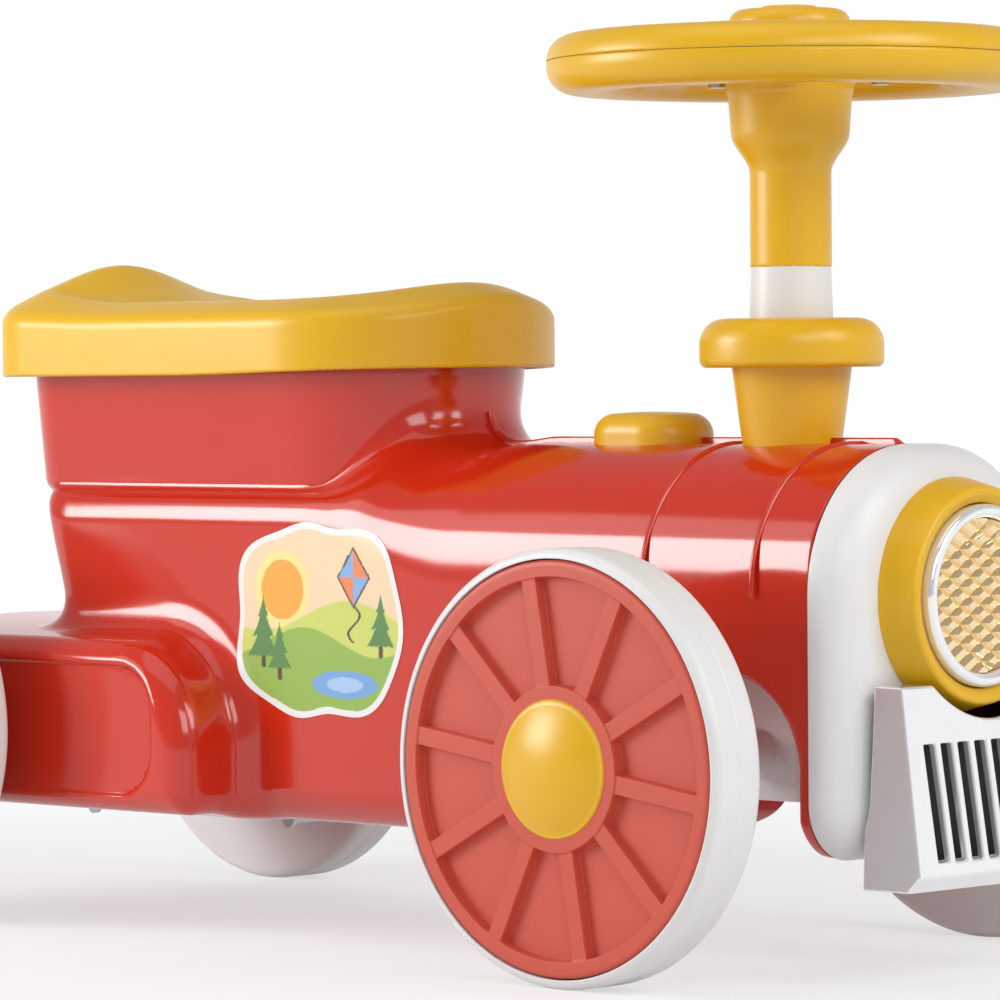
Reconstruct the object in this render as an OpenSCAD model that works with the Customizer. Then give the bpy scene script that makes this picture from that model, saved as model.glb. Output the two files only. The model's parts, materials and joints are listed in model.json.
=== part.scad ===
// Toddler's foot-to-floor ride-on train: a moulded boiler body with a storage seat,
// a steered front axle, four spoked wheels and a lamp, grille and chimney at the front.
// +X is forward, +Y left, +Z up, with the origin on the ground under the middle of the box.

/* [Wheels and axles] */
// Distance between the two axles
wheelbase = 440; // [410:1:460]
// Radius of a wheel
wheel_r = 87; // [80:0.5:92]
// Width of a wheel's drum
wheel_w = 27.3; // [24:0.1:32]
// From the middle of the train to a wheel's outer face
wheel_face_y = 145; // [142:0.5:156]
// Radius of an axle rod
axle_r = 5; // [4:0.1:6]
// Radius of the spacer tubes round the axles
spacer_r = 9.5; // [8:0.1:11]
// Number of spokes on a wheel cover
spoke_count = 10; // [6:1:12]
// Width of one spoke
spoke_w = 7; // [5:0.5:9]
// Depth of the fields between the spokes
spoke_relief = 4.5; // [3:0.1:5.5]
// Width of the ring round the spokes
cover_rim_w = 7; // [5:0.5:10]
// Radius of the yellow hub cap
hub_cap_r = 27.7; // [24:0.1:31]
// How far a hub cap stands out of the wheel
hub_cap_rise = 7; // [5:0.5:9]

/* [Boiler body] */
// Half the width of the boiler
boiler_half_w = 69; // [66:0.5:72]
// Height of the boiler's top
boiler_top = 213; // [208:0.5:218]
// Height of the boiler's underside
boiler_bottom = 48; // [46:0.5:52]
// Half the width of the flat strip along the boiler's top
crown_flat = 9; // [6:0.5:14]
// Radius of the boiler's lower corners
foot_r = 24; // [22:0.5:30]
// From the steering column to the boiler's front rim
boiler_front = 66.5; // [64:0.5:70]
// Thickness of the moulded walls
wall = 3; // [2.5:0.1:3.4]
// Half the length of the arch over the front axle
arch_half_l = 60; // [56:0.5:61]
// Height of the arch's top
arch_top = 122; // [118:0.5:126]
// Height of the seam lip over the boiler
lip_h = 2.4; // [1.5:0.1:3]
// Width of a raised band round the boiler
band_w = 1.8; // [1.4:0.1:3]

/* [Seat box] */
// From the steering column back to the seat box's front
box_front = 175.7; // [172:0.5:184]
// From the steering column back to the seat box's rear wall
box_rear = 413; // [406:0.5:418]
// How much narrower than the boiler the seat box's rim is on each side
box_inset = 6.3; // [4:0.1:9]
// Height of the seat box's rim
box_rim = 258; // [254:0.5:260]
// How much the seat box narrows down to its waist
box_taper = 5.5; // [3:0.1:7]
// Height of the waist under the seat box
waist_z = 195; // [191:0.5:199]
// Depth of the storage bin
bin_depth = 92; // [70:1:96]

/* [Rear block] */
// From the steering column back to the block's nose
block_front = 258; // [252:0.5:266]
// How far the block reaches behind the rear axle
block_behind = 47; // [40:0.5:55]
// Half the width of the block
block_half_w = 105; // [100:0.5:107]
// Height of the block's upper edge
block_top = 126; // [122:0.5:130]
// Height of the block's underside
block_bottom = 52; // [50:0.5:56]
// Radius of the block's rounded nose
nose_r = 47; // [40:0.5:52]
// Depth of the panels sunk into the block's sides
panel_depth = 3.4; // [2:0.1:4]

/* [Seat] */
// How far the seat's skirt stands out from the seat box
seat_overhang = 13.3; // [11:0.1:16]
// Height of the seat skirt's lower edge
skirt_z = 242.5; // [240:0.5:246]
// Height of the seat's edge crest
seat_crest = 276; // [272:0.5:280]
// Rise of the low backrest over the crest
backrest_rise = 21; // [14:0.5:23]
// Rise of the pommel over the crest
pommel_rise = 8.5; // [5:0.5:10]
// Depth of the sitting hollow under the crest
seat_dip = 6; // [3:0.5:7]

/* [Front] */
// Depth of the domed front panel
panel_l = 23; // [20:0.5:25]
// Height of the headlight's axis
lamp_z = 152.7; // [150:0.1:156]
// Radius of the yellow headlight ring
lamp_ring_r = 48.5; // [46:0.1:50]
// Length of the headlight ring in front of the panel
lamp_ring_l = 13; // [11:0.5:15]
// Outer radius of the chrome bezel
bezel_r = 36.6; // [34:0.1:38]
// Pitch of the lens prisms
prism_pitch = 6.5; // [5:0.1:8]
// Half the width of the grille
grille_half_w = 54.5; // [52:0.5:58]
// Height of the grille's lower lip
grille_bottom = 38; // [34:0.5:42]
// Height of the grille's top edge
grille_top = 118.4; // [114:0.1:122]
// From the front panel's face to the grille's lower lip
grille_lip_l = 25.5; // [22:0.5:28]
// Number of slots in the grille
slot_count = 9; // [5:2:9]
// Pitch of the grille slots
slot_pitch = 10.5; // [9.5:0.1:11]
// Width of a grille slot
slot_w = 6.5; // [5:0.1:7.5]

/* [Steering] */
// Outer radius of the steering wheel
helm_r = 100; // [92:1:108]
// Width of the steering wheel's rim
helm_rim_w = 29; // [26:0.5:32]
// Height of the steering wheel's rim section
helm_rim_h = 24; // [22:0.5:28]
// Height of the rim's parting line
helm_z = 370.4; // [362:0.2:378]
// Radius of the steering column
column_r = 16.8; // [15.5:0.1:17.6]
// Height where the column goes into the wheel's sleeve
sleeve_z = 285; // [276:0.5:292]
// Radius of the horn button
horn_r = 11.5; // [9:0.1:13]
// Top radius of the chimney
chimney_top_r = 24.85; // [23:0.05:27]
// Radius of the chimney at the boiler
chimney_foot_r = 20.5; // [20:0.05:22]
// Radius of the chimney cap
cap_r = 38; // [34:0.5:42]
// Height of the chimney cap
cap_h = 20.2; // [17:0.2:24]
// Height of the chimney's top
chimney_z = 244.2; // [240:0.2:248]
// From the column back to the boiler button's centre
button_x = 77; // [72:0.5:82]
// Length of the boiler button
button_l = 54; // [48:0.5:58]
// Width of the boiler button
button_w = 40; // [34:0.5:44]
// Rise of the boiler button over the boiler
button_rise = 13; // [10:0.5:16]

/* [Hidden] */
$fn = 64;
// Radial clearance of a part that turns on a shaft
run_gap = 0.05;
// Gap between parts that rest by or slide past each other
slide_gap = 0.3;
// Gap round a button in its hole
button_gap = 0.5;
// Extra reach of a cutting tool past the face that it cuts
over = 1;
button_travel = 3;
horn_travel = 1.5;

// Places along X are counted from the steering column, which stands over the front axle
panel_face = boiler_front + panel_l;
lip_x = panel_face + grille_lip_l;
column_x = (wheelbase + wheel_r - lip_x) / 2;
axle_z = wheel_r;
wheel_inner_y = wheel_face_y - wheel_w;
block_rear = wheelbase + block_behind;
crown_r = boiler_half_w - crown_flat;
box_half_w = boiler_half_w - box_inset;
seat_half_w = box_half_w + seat_overhang;
box_centre = box_front + box_half_w;
box_corner_r = 25;
shoulder_r = 16;
shoulder_top = waist_z + 1.5;
block_edge_r = 14;
block_foot_r = 10;
block_crown = 6;
block_fillet = 18;
waist_fillet = 9;
front_fillet = 38;
// The shoulder beside the seat box starts to rise to the boiler's crown this far before the box's centre
rise_lead = 13;
rise_run = 95;
fillet_run = 45;
// The rear wall steps forward under the waist, then leans forward down to the block's top
wall_step = 14;
wall_step_h = 11;
wall_lean = 14;
lean_run = 70;
// Longest distance that is searched for the skin, and the closest that two sections may lie
reach_max = 240;
station_gap = 0.3;
lip_w = 3;
lip_end = 8;
axis_z = 95;

// Wheel parts, measured outward from the drum's inner face
tyre_wall = 4;
tyre_edge_r = 5;
cover_r = wheel_r - tyre_wall;
cover_h = 10;
cover_floor = 3;
spoke_step = 0.6;
hub_ring_w = 5;
hub_r = 13;
hub_top = wheel_w - cover_h;
nut_r = 9;
nut_h = 2;
axle_tail = 3.5;
axle_half_l = wheel_inner_y + hub_top + slide_gap + nut_h + axle_tail;

// Front axle carrier, column and bush
carrier_half_w = 22;
carrier_half_l = 26;
carrier_corner_r = 8;
carrier_bottom = axle_z - 19.5;
carrier_top = axle_z + 30;
carrier_neck_r = column_r + 6;
carrier_neck_top = arch_top - slide_gap;
socket_floor = axle_z + axle_r + 6;
column_wall = 3.3;
spigot_r = column_r - column_wall;
spigot_wall = 3;
bush_wall = 5;
bush_r = column_r + run_gap + bush_wall;
bush_flange_r = bush_r + 5;
bush_flange_h = 3;
web_h = 3;
web_z = carrier_neck_top + slide_gap + 20;
web_gap = 44;
bush_top = boiler_top - wall - slide_gap;

// Steering wheel
helm_edge_r = 10.8;
helm_low = helm_z - 0.55 * helm_rim_h;
helm_mid_r = helm_r - helm_rim_w / 2;
hub_low_r = 24.3;
hub_high_r = 26;
sleeve_r = column_r;
hub_shoulder_z = sleeve_z + 39;
hub_base_z = hub_shoulder_z + 15;
arm_w = 30;
arm_h = 16;
pad_r = 25;
pad_z = helm_z + 20.6;
pad_edge_r = 6;
horn_rise = 1.4;
horn_flange = 2;
spigot_top = helm_z - 24;
helm_screw_r = 2;
helm_screw_bite = 0.2;
helm_screw_roof = 2;
helm_wall = 3;
helm_screw_ring = 39.5;

// Headlight stack, measured forward from the panel's face
spigot_depth = 9;
lamp_back = 3;
bezel_w = 5.4;
bezel_l = 9;
lens_r = bezel_r - bezel_w - slide_gap;
lens_h = 5;
prism_depth = 2;
lamp_r = 4;

// Grille shell
grille_wall = 2.5;
grille_top_l = 13.5;
grille_lap = 4;
slot_bottom = grille_bottom + 11.6;
slot_top = grille_top - 22.8;
backing_h = 1.5;
backing_lap = 2;

// Seat, rim and storage bin
bin_wall = 2.5;
bin_inset = box_taper + 2 * wall + over;
bin_rear_inset = wall_step + wall_lean + 2 * wall + 2 * over;
bin_flange = 2.5;
mouth_inset = 7;
bin_corner_r = 16;
seat_wall = 3.5;
seat_front = box_front - (seat_half_w - box_half_w);
seat_rear = box_rear + (seat_half_w - box_half_w);
seat_corner_r = 34;
seat_seat_z = box_rim + bin_flange + slide_gap;
plug_depth = 9;
plug_wall = 3;
skirt_top = skirt_z + 22;
seat_front_lift = 2.5;
lift_lead = 60;
seat_draft = 0.6;
seat_slope = 8;
seat_slope_run = 26;
seat_hollow_run = 40;
back_l = 76;
back_peak_l = 12;
pommel_l = 66;

// Screw bosses under the seam
boss_r = 6;
boss_half_l = 14;
boss_rib = 4.5;
boss_z = boiler_bottom - 4;
boss_places = [-(block_front + 32), -(wheelbase - 20)];
screw_r = 1.95;
screw_head_r = 3.6;
screw_head_h = 2.5;
screw_seat_y = 8;

arch_r = 40;
arch_foot_r = 13;
box_root = 24;
band_h = 0.8;
band_places = [-22, 37.5];
web_half_l = 34;
bush_seat_r = 16;
bush_seat_l = 24;
panel_r = 20;
panel_low = 9;
panel_high = 10.3;
panel_end = 22;
seat_edge = 6;
dome_inset = 20.5;
plug_inset = wall + slide_gap;
plug_l = boiler_front - arch_half_l - wall - slide_gap;
lamp_spigot_r = lamp_ring_r - 4.5;
lamp_edge_r = 9;
lamp_base_h = 3;
bezel_seat = lamp_ring_l - bezel_l + 2;
lip_chamfer = 6;
grille_flare = 4;
chimney_wall = 2.5;
cap_edge_r = 11;
button_root = boiler_top - 6;
button_edge = 9;
flange_h = 2;
flange_w = 2.5;
module_l = 60;
module_w = 46;
module_h = 24;
module_z = boiler_top - 52;
post_r = 4;
plunger_r = 5;
pin_r = 2.5;
pin_z_low = carrier_top - 6;
pin_z_high = sleeve_z + 20;
horn_seat = 13;
horn_flange_h = 3;
squeaker_r = spigot_r - slide_gap;
squeaker_h = helm_z + horn_seat - horn_flange_h - horn_travel - slide_gap - spigot_top;
spoke_turn = -8;
hub_cap_lap = 3;
hub_cap_sink = 3;
hub_cap_wall = 2.2;

// Distances and blends that shape the moulded body
function clamp01(t) = min(max(t, 0), 1);
function ease(t) = clamp01(t) * clamp01(t) * (3 - 2 * clamp01(t));
function mix(a, b, t) = a + (b - a) * t;
function corner(a, b, r) = norm([max(a + r, 0), max(b + r, 0)]) + min(max(a + r, b + r), 0) - r;
function blend(a, b, k) = min(a, b) - pow(max(k - abs(a - b), 0), 2) / (4 * k);

// How far the section at x belongs to the boiler (1) and not to the seat box's base (0)
function boiler_share(x) = ease((x + box_centre - rise_lead) / rise_run);

// The boiler and the base under the seat box: a round-topped section that ends at the rear wall
function base_d(x, y, z) =
    let (t = boiler_share(x))
    let (top = mix(shoulder_top, boiler_top, t))
    let (upper = corner(abs(y) - boiler_half_w, z - top, mix(shoulder_r, crown_r, t)))
    let (lower = corner(abs(y) - boiler_half_w, boiler_bottom - z, foot_r))
    let (rear = corner(abs(y) - boiler_half_w, -box_rear - x, box_corner_r))
    max(upper, lower, rear);

// The seat box: a D-shaped plan that narrows down to the waist
function box_d(x, y, z) =
    let (narrow = box_taper * clamp01((skirt_z - z) / (skirt_z - waist_z)))
    let (half_w = box_half_w - narrow)
    let (round_front = norm([x + box_centre, y]) - half_w)
    let (square_rear = corner(abs(y) - half_w, -box_rear - x, box_corner_r))
    max(x > -box_centre ? round_front : square_rear, z - box_rim, waist_z - box_root - z);

// The block that carries the rear axle, with a rounded nose and a crowned top
function block_d(x, y, z) =
    let (top = block_top + block_crown * (1 - pow(min(abs(y) / block_half_w, 1), 2)))
    let (nose = corner(x + block_front, z - top, nose_r))
    let (foot = corner(x + block_front, block_bottom - z, block_foot_r))
    corner(max(nose, foot), abs(y) - block_half_w, block_edge_r);

function body_d(x, y, z) =
    let (fillet = mix(waist_fillet, front_fillet, ease((x + box_centre - rise_lead) / fillet_run)))
    blend(blend(base_d(x, y, z), box_d(x, y, z), fillet), block_d(x, y, z), block_fillet);

// Distance from a point inside the body to its skin along a direction in the section at x
function reach(x, y, z, way, depth, low = 0, high = reach_max, steps = 16) =
    let (mid = (low + high) / 2)
    steps == 0 ? mid
    : body_d(x, y + mid * way[0], z + mid * way[1]) + depth < 0
    ? reach(x, y, z, way, depth, mid, high, steps - 1)
    : reach(x, y, z, way, depth, low, mid, steps - 1);

// How far the rear wall lies forward of the seat box's rim at a height
function wall_inset(z) =
    wall_step * ease((waist_z + 2 * over - z) / wall_step_h)
    + wall_lean * ease((waist_z - z) / (waist_z - block_top));

function lean(x, z) = wall_inset(z) * ease(1 - abs(x + box_rear) / lean_run);

// Depth of the section inside the rounded rear end
function end_inset(x) =
    let (t = clamp01((block_edge_r - block_rear - x) / block_edge_r))
    block_edge_r * (1 - sqrt(max(1 - t * t, 0)));

// Values in rising order, without those that nearly repeat
function sorted(v) =
    len(v) < 2 ? v
    : let (pivot = v[floor(len(v) / 2)])
    concat(
        sorted([for (a = v) if (a < pivot - station_gap) a]),
        [pivot],
        sorted([for (a = v) if (a > pivot + station_gap) a])
    );

// Sections of the body, close together where its form turns
stations = sorted(concat(
    [boiler_front, boiler_front - lip_end - over / 10, boiler_front - 1.5 * lip_end],
    [for (t = [2, 1.6, 1.2, 0.9, 0.65, 0.42, 0.25, 0.12, 0.03]) -box_front + t * front_fillet],
    [for (t = [5, 20, 34, 47, 60, 75, 90]) -box_centre + box_half_w * cos(t)],
    [for (t = [0, 15, 28, 40, 51, 61, 70, 79, 90]) -block_front - nose_r * (1 - sin(t))],
    [for (t = [0.06, 0.17, 0.33, 0.56, 0.83]) -block_front + t * block_fillet],
    [for (t = [0, 30, 52, 70, 90]) -box_rear + box_corner_r * (1 - sin(t))],
    [for (t = [0.03, 0.09, 0.17, 0.31, 0.57]) -box_rear - t * lean_run],
    [for (t = [0, 35, 65, 90]) -block_rear + block_edge_r * (1 - sin(t))]
));
// Directions to the lower skin, then heights on the upper skin as shares of its rise
low_rays = [-90, -66, -52, -43, -36, -30, -25, -20, -12, -2, 6, 11, 15, 19, 24];
levels = [0.13, 0.25, 0.35, 0.43, 0.48, 0.515, 0.545, 0.58, 0.64, 0.73, 0.83, 0.92, 0.97, 0.99, 1];

function ray_point(x, way, depth) = [0, axis_z] + reach(x, 0, axis_z, way, depth) * way;

// Half of the section at x, closed along the middle plane
function section(x) =
    let (depth = end_inset(x))
    let (low = [for (a = low_rays) ray_point(x, [cos(a), sin(a)], depth)])
    let (foot = low[len(low) - 1][1])
    let (top = ray_point(x, [0, 1], depth)[1] - 0.02)
    let (high = [for (t = levels) let (z = mix(foot, top, t)) [reach(x, 0, z, [1, 0], depth), z]])
    let (seam = [0, min(block_top + block_crown, (low[0][1] + top) / 2)])
    [for (p = concat(low, high, [[0, top], seam])) [x + lean(x, p[1]), p[0], p[1]]];

function quad(a, b, c, d) = [[a, b, c], [a, c, d]];

function middle(ring) = [for (k = [0:2]) [for (p = ring) p[k]] * [for (p = ring) 1] / len(ring)];

// A solid through rings of points, all with the same count, closed by a fan at each end.
// The rings rise along an axis and run anticlockwise as seen against it.
module loft(rings) {
    m = len(rings[0]);
    n = len(rings);
    sides = [for (i = [0:n - 2]) for (j = [0:m - 1])
        each quad(i * m + j, (i + 1) * m + j, (i + 1) * m + (j + 1) % m, i * m + (j + 1) % m)];
    first = [for (j = [0:m - 1]) [n * m, j, (j + 1) % m]];
    last = [for (j = [0:m - 1]) [n * m + 1, (n - 1) * m + (j + 1) % m, (n - 1) * m + j]];
    tips = [middle(rings[0]), middle(rings[n - 1])];
    polyhedron(concat([for (r = rings) each r], tips), concat(first, sides, last), convexity = 8);
}

// The round-topped boiler section, grown or shrunk, across Y with Z up
module boiler_profile(grow) {
    w = boiler_half_w + grow;
    for (side = [-1, 1]) {
        translate([side * (boiler_half_w - crown_r), boiler_top - crown_r])
            circle(crown_r + grow, $fn = 96);
        translate([side * (boiler_half_w - foot_r), boiler_bottom + foot_r])
            circle(foot_r + grow, $fn = 64);
    }
    translate([-w, boiler_bottom + foot_r])
        square([2 * w, boiler_top - crown_r - boiler_bottom - foot_r]);
    translate([crown_r - boiler_half_w, boiler_bottom + foot_r])
        square([2 * (boiler_half_w - crown_r), boiler_top + grow - boiler_bottom - foot_r]);
    translate([foot_r - boiler_half_w, boiler_bottom - grow])
        square([2 * (boiler_half_w - foot_r), boiler_top - crown_r - boiler_bottom]);
}

module boiler_bar(from, to, grow)
    translate([from, 0, 0]) rotate([90, 0, 90]) linear_extrude(to - from) boiler_profile(grow);

// D-shaped plan with a round front at half_w and a square rear with rounded corners
module d_plan(centre, rear, half_w, r) {
    translate([-centre, 0])
        circle(half_w, $fn = 96);
    translate([-rear + r, -half_w])
        square([rear - r - centre, 2 * half_w]);
    translate([-rear, -half_w + r])
        square([rear - centre, 2 * half_w - 2 * r]);
    for (side = [-1, 1])
        translate([-rear + r, side * (half_w - r)])
            circle(r, $fn = 64);
}

// The box's plan, drawn in from its rim by an inset all round
module box_plan(inset)
    d_plan(box_centre, box_rear - inset, box_half_w - inset, box_corner_r - inset);

// Outline of the front axle's arch, grown for its lining
module arch_outline(grow) {
    foot = boiler_bottom - 2 * over;
    half_l = arch_half_l + grow;
    translate([-half_l, foot])
        square([2 * half_l, arch_top - arch_r - foot]);
    for (side = [-1, 1])
        translate([side * (arch_half_l - arch_r), arch_top - arch_r])
            circle(arch_r + grow, $fn = 96);
    translate([arch_r - arch_half_l, foot])
        square([2 * (arch_half_l - arch_r), arch_top + grow - foot]);
}

// Flare where the arch's rear side leaves the underside
module arch_flare() difference() {
    translate([-arch_half_l - arch_foot_r, boiler_bottom - 2 * over])
        square([arch_half_l, arch_foot_r + 2 * over]);
    translate([-arch_half_l - arch_foot_r, boiler_bottom + arch_foot_r - over])
        circle(arch_foot_r);
}

module arch_lining() {
    arch_outline(wall);
    translate([-arch_half_l - 2 * wall, boiler_bottom])
        square([2 * wall, arch_foot_r]);
}

module across_y(half_l) rotate([90, 0, 0]) translate([0, 0, -half_l]) linear_extrude(2 * half_l) children();

// Rounded panel sunk into the side of the rear block
module side_panel() {
    low = block_bottom + panel_low;
    high = block_top - panel_high;
    front = -block_front - panel_end;
    rear = -block_rear + panel_end;
    translate([rear, low + panel_r])
        square([front - rear, high - low - 2 * panel_r]);
    translate([rear + panel_r, low])
        square([front - rear - 2 * panel_r, high - low]);
    for (x = [rear + panel_r, front - panel_r])
        for (z = [low + panel_r, high - panel_r])
            translate([x, z])
                circle(panel_r);
}

// Carries a plan drawn across X and Z out to +Y from a place on that side
module out_from(y, h) translate([0, y, 0]) rotate([90, 0, 0]) mirror([0, 0, 1]) linear_extrude(h) children();

module at_column() translate([column_x, 0, 0]) children();

module half_space() translate([-block_rear, 0, 0]) cube([block_rear + lip_x, 2 * block_half_w, box_rim]);

// Hollows that leave the body's walls, and the storage box's mouth
module body_hollow() {
    base_rear = box_rear - wall_step - wall_lean - 2 * wall;
    block_inner_w = block_half_w - panel_depth - 2 * wall;
    boiler_bar(-box_front + 20, boiler_front + over, -wall);
    intersection() {
        boiler_bar(-box_rear, 0, -wall);
        linear_extrude(waist_z - 2 * wall)
            d_plan(box_centre - box_half_w, base_rear, boiler_half_w - 1.3 * wall, box_corner_r);
    }
    translate([0, 0, waist_z - 5 * wall])
        linear_extrude(box_rim - waist_z + 6 * wall)
            box_plan(box_taper + 2 * wall);
    translate([0, 0, (waist_z + skirt_z) / 2])
        linear_extrude(box_rim - waist_z)
            box_plan(mouth_inset);
    across_y(block_inner_w)
        block_hollow();
}

// Side view of the room inside the rear block, behind its rounded nose
module block_hollow() {
    r = nose_r - 1.5 * wall;
    rear = -block_rear + 3 * wall;
    low = block_bottom + 1.5 * wall;
    middle = block_top - 1.3 * wall - r;
    front = -block_front - nose_r;
    translate([rear, low])
        square([front + r - rear, middle - low]);
    translate([rear, low])
        square([front - rear, middle + r - low]);
    intersection() {
        translate([front, middle])
            circle(r, $fn = 96);
        translate([rear, low])
            square([front + r - rear, 2 * r]);
    }
}

module seam_lip() {
    path = [for (x = stations) if (x < boiler_front - lip_end && x > -box_front)
        [x, ray_point(x, [0, 1], 0)[1]]];
    loft([for (i = [0:len(path) - 1])
        let (a = path[max(i - 1, 0)], b = path[min(i + 1, len(path) - 1)])
        let (n = [a[1] - b[1], 0, b[0] - a[0]] / norm(b - a))
        let (p = [path[i][0], 0, path[i][1]], rise = i == len(path) - 1 ? lip_h / 10 : lip_h)
        let (q = p + [0, lip_w, 0])
        [p - n, q - n, q + rise * n, p + rise * n]
    ]);
}

module button_plan(grow) {
    r = button_w / 2 + grow;
    run = (button_l - button_w) / 2;
    for (side = [-1, 1])
        translate([-button_x + side * run, 0])
            circle(r, $fn = 64);
    translate([-button_x - run, -r])
        square([2 * run, 2 * r]);
}

// One half of the moulded body on the +Y side; the other is its mirror image without the lip
module body_half(lipped, screw_bore_r) {
    difference() {
        union() {
            difference() {
                loft([for (x = stations) section(x)]);
                body_hollow();
            }
            if (lipped) {
                difference() {
                    seam_lip();
                    translate([0, 0, boiler_top - over])
                        cylinder(r = chimney_foot_r + slide_gap, h = lip_h + 2 * over);
                    translate([0, 0, boiler_top - over])
                        linear_extrude(lip_h + 2 * over)
                            button_plan(button_gap);
                }
            }
            intersection() {
                half_space();
                union() {
                    for (x = band_places)
                        difference() {
                            boiler_bar(x - band_w / 2, x + band_w / 2, band_h);
                            boiler_bar(x - band_w, x + band_w, -wall / 2);
                        }
                    for (z = [web_z, web_z + web_gap])
                        intersection() {
                            translate([-web_half_l, 0, z])
                                cube([2 * web_half_l, boiler_half_w, web_h]);
                            boiler_bar(-web_half_l, web_half_l, -wall / 2);
                        }
                    intersection() {
                        across_y(boiler_half_w)
                            arch_lining();
                        boiler_bar(-box_front, boiler_front, -wall / 2);
                    }
                    for (x = boss_places) {
                        translate([x, boss_half_l, boss_z])
                            rotate([90, 0, 0])
                                cylinder(r = boss_r, h = boss_half_l);
                        translate([x - boss_rib, 0, boss_z])
                            cube([2 * boss_rib, boss_half_l - over, block_bottom + wall / 2 - boss_z]);
                    }
                }
            }
            translate([-wheelbase, block_half_w - panel_depth - wall / 2, axle_z])
                rotate([90, 0, 0])
                    cylinder(r = bush_seat_r, h = bush_seat_l);
        }
        across_y(boiler_half_w + band_h + over) {
            arch_outline(0);
            arch_flare();
        }
        out_from(block_half_w - panel_depth, panel_depth + over)
            side_panel();
        translate([0, 0, arch_top - over])
            cylinder(r = bush_r + run_gap, h = bush_top - arch_top + over);
        translate([0, 0, bush_top - over])
            cylinder(r = column_r + slide_gap, h = boiler_top - bush_top + lip_h + 2 * over);
        translate([0, 0, boiler_top - crown_r])
            linear_extrude(crown_r + lip_h + over)
                button_plan(button_gap);
        translate([-wheelbase, block_half_w + over, axle_z])
            rotate([90, 0, 0])
                cylinder(r = spacer_r + run_gap, h = block_half_w);
        for (x = boss_places)
            translate([x, boss_half_l + over, boss_z])
                rotate([90, 0, 0]) {
                    cylinder(r = screw_bore_r, h = boss_half_l + 2 * over);
                    if (!lipped)
                        cylinder(r = screw_head_r + slide_gap, h = boss_half_l + over - screw_seat_y);
                }
    }
}

module body_left() color("#d1381c") at_column() body_half(true, screw_r + run_gap);

module body_right() color("#d1381c") at_column() mirror([0, 1, 0]) body_half(false, screw_r + slide_gap);

// Screws through the bosses under the seam, heads on the right
module body_screws() color("#b8bcc2") at_column()
    for (x = boss_places)
        translate([x, 0, boss_z])
            rotate([-90, 0, 0]) {
                translate([0, 0, -screw_seat_y - screw_head_h])
                    cylinder(r = screw_head_r, h = screw_head_h);
                translate([0, 0, -screw_seat_y])
                    cylinder(r = screw_r, h = screw_seat_y + boss_half_l - over);
            }

// Open tray that hangs in the seat box by its flange
module storage_bin() color("#c2341c") at_column() difference() {
    union() {
        translate([0, 0, box_rim - bin_depth])
            linear_extrude(bin_depth + bin_flange)
                bin_plan(0);
        translate([0, 0, box_rim])
            linear_extrude(bin_flange)
                box_plan(over);
    }
    translate([0, 0, box_rim - bin_depth + bin_wall])
        linear_extrude(bin_depth + bin_flange)
            bin_plan(bin_wall);
}

module bin_plan(inset)
    d_plan(box_centre, box_rear - bin_rear_inset - inset, box_half_w - bin_inset - inset,
        bin_corner_r - inset);

// Points round the seat's plan, drawn in by an inset
function seat_outline(inset) =
    let (half_w = seat_half_w - inset, r = max(seat_corner_r - inset, 1))
    let (rear = -seat_rear + inset + r)
    concat(
        [for (a = [-90:15:90]) [-box_centre + half_w * cos(a), half_w * sin(a)]],
        [for (i = [1:3]) [mix(-box_centre, rear, i / 4), half_w]],
        [for (a = [90:18:180]) [rear + r * cos(a), half_w - r + r * sin(a)]],
        [[-seat_rear + inset, 0]],
        [for (a = [180:18:270]) [rear + r * cos(a), r - half_w + r * sin(a)]],
        [for (i = [3:-1:1]) [mix(-box_centre, rear, i / 4), -half_w]]
    );

// Height of the seat's top: a crest round the edge, a sitting hollow, a backrest and a pommel
function seat_height(p, inset) =
    let (along = p[0] + seat_rear, length = seat_rear - seat_front - seat_slope_run)
    let (across = p[1] / seat_half_w)
    let (slope = seat_slope * (1 - ease(inset / seat_slope_run)))
    let (hollow = seat_dip * ease((inset - seat_edge) / seat_hollow_run))
    let (back = backrest_rise * ease(1 - max(along - back_peak_l, 0) / back_l) * exp(-2.6 * across * across))
    let (pommel = pommel_rise * ease((along + pommel_l - length) / pommel_l) * exp(-3 * across * across))
    seat_crest - slope - hollow + back + pommel;

function skirt_lift(p) = seat_front_lift * ease((p[0] + box_centre + lift_lead) / (seat_half_w + lift_lead));

// Height where the skirt's wall turns into the rounded edge
function wall_top(p) = skirt_top - seat_edge / 2 + skirt_lift(p) / 2;

module seat() color("#eebe3c") at_column() difference() {
    loft(concat(
        [[for (p = seat_outline(0)) [p[0], p[1], skirt_z + skirt_lift(p)]]],
        [[for (p = seat_outline(seat_draft)) [p[0], p[1], wall_top(p)]]],
        [for (t = [20, 50, 90]) let (inset = seat_draft + seat_edge * (1 - cos(t)))
            [for (p = seat_outline(inset)) [p[0], p[1], mix(wall_top(p), seat_height(p, inset), sin(t))]]],
        [for (t = [0.16, 0.24, 0.34, 0.47, 0.62, 0.78, 0.92]) let (inset = t * seat_half_w)
            [for (p = seat_outline(inset)) [p[0], p[1], seat_height(p, inset)]]]
    ));
    difference() {
        translate([0, 0, skirt_z - over])
            linear_extrude(seat_seat_z - skirt_z + over)
                d_plan(box_centre, seat_rear - seat_wall, seat_half_w - seat_wall, seat_corner_r - seat_wall);
        translate([0, 0, seat_seat_z - plug_depth])
            linear_extrude(plug_depth + over)
                difference() {
                    bin_plan(bin_wall + button_gap);
                    bin_plan(bin_wall + button_gap + plug_wall);
                }
    }
}

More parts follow.
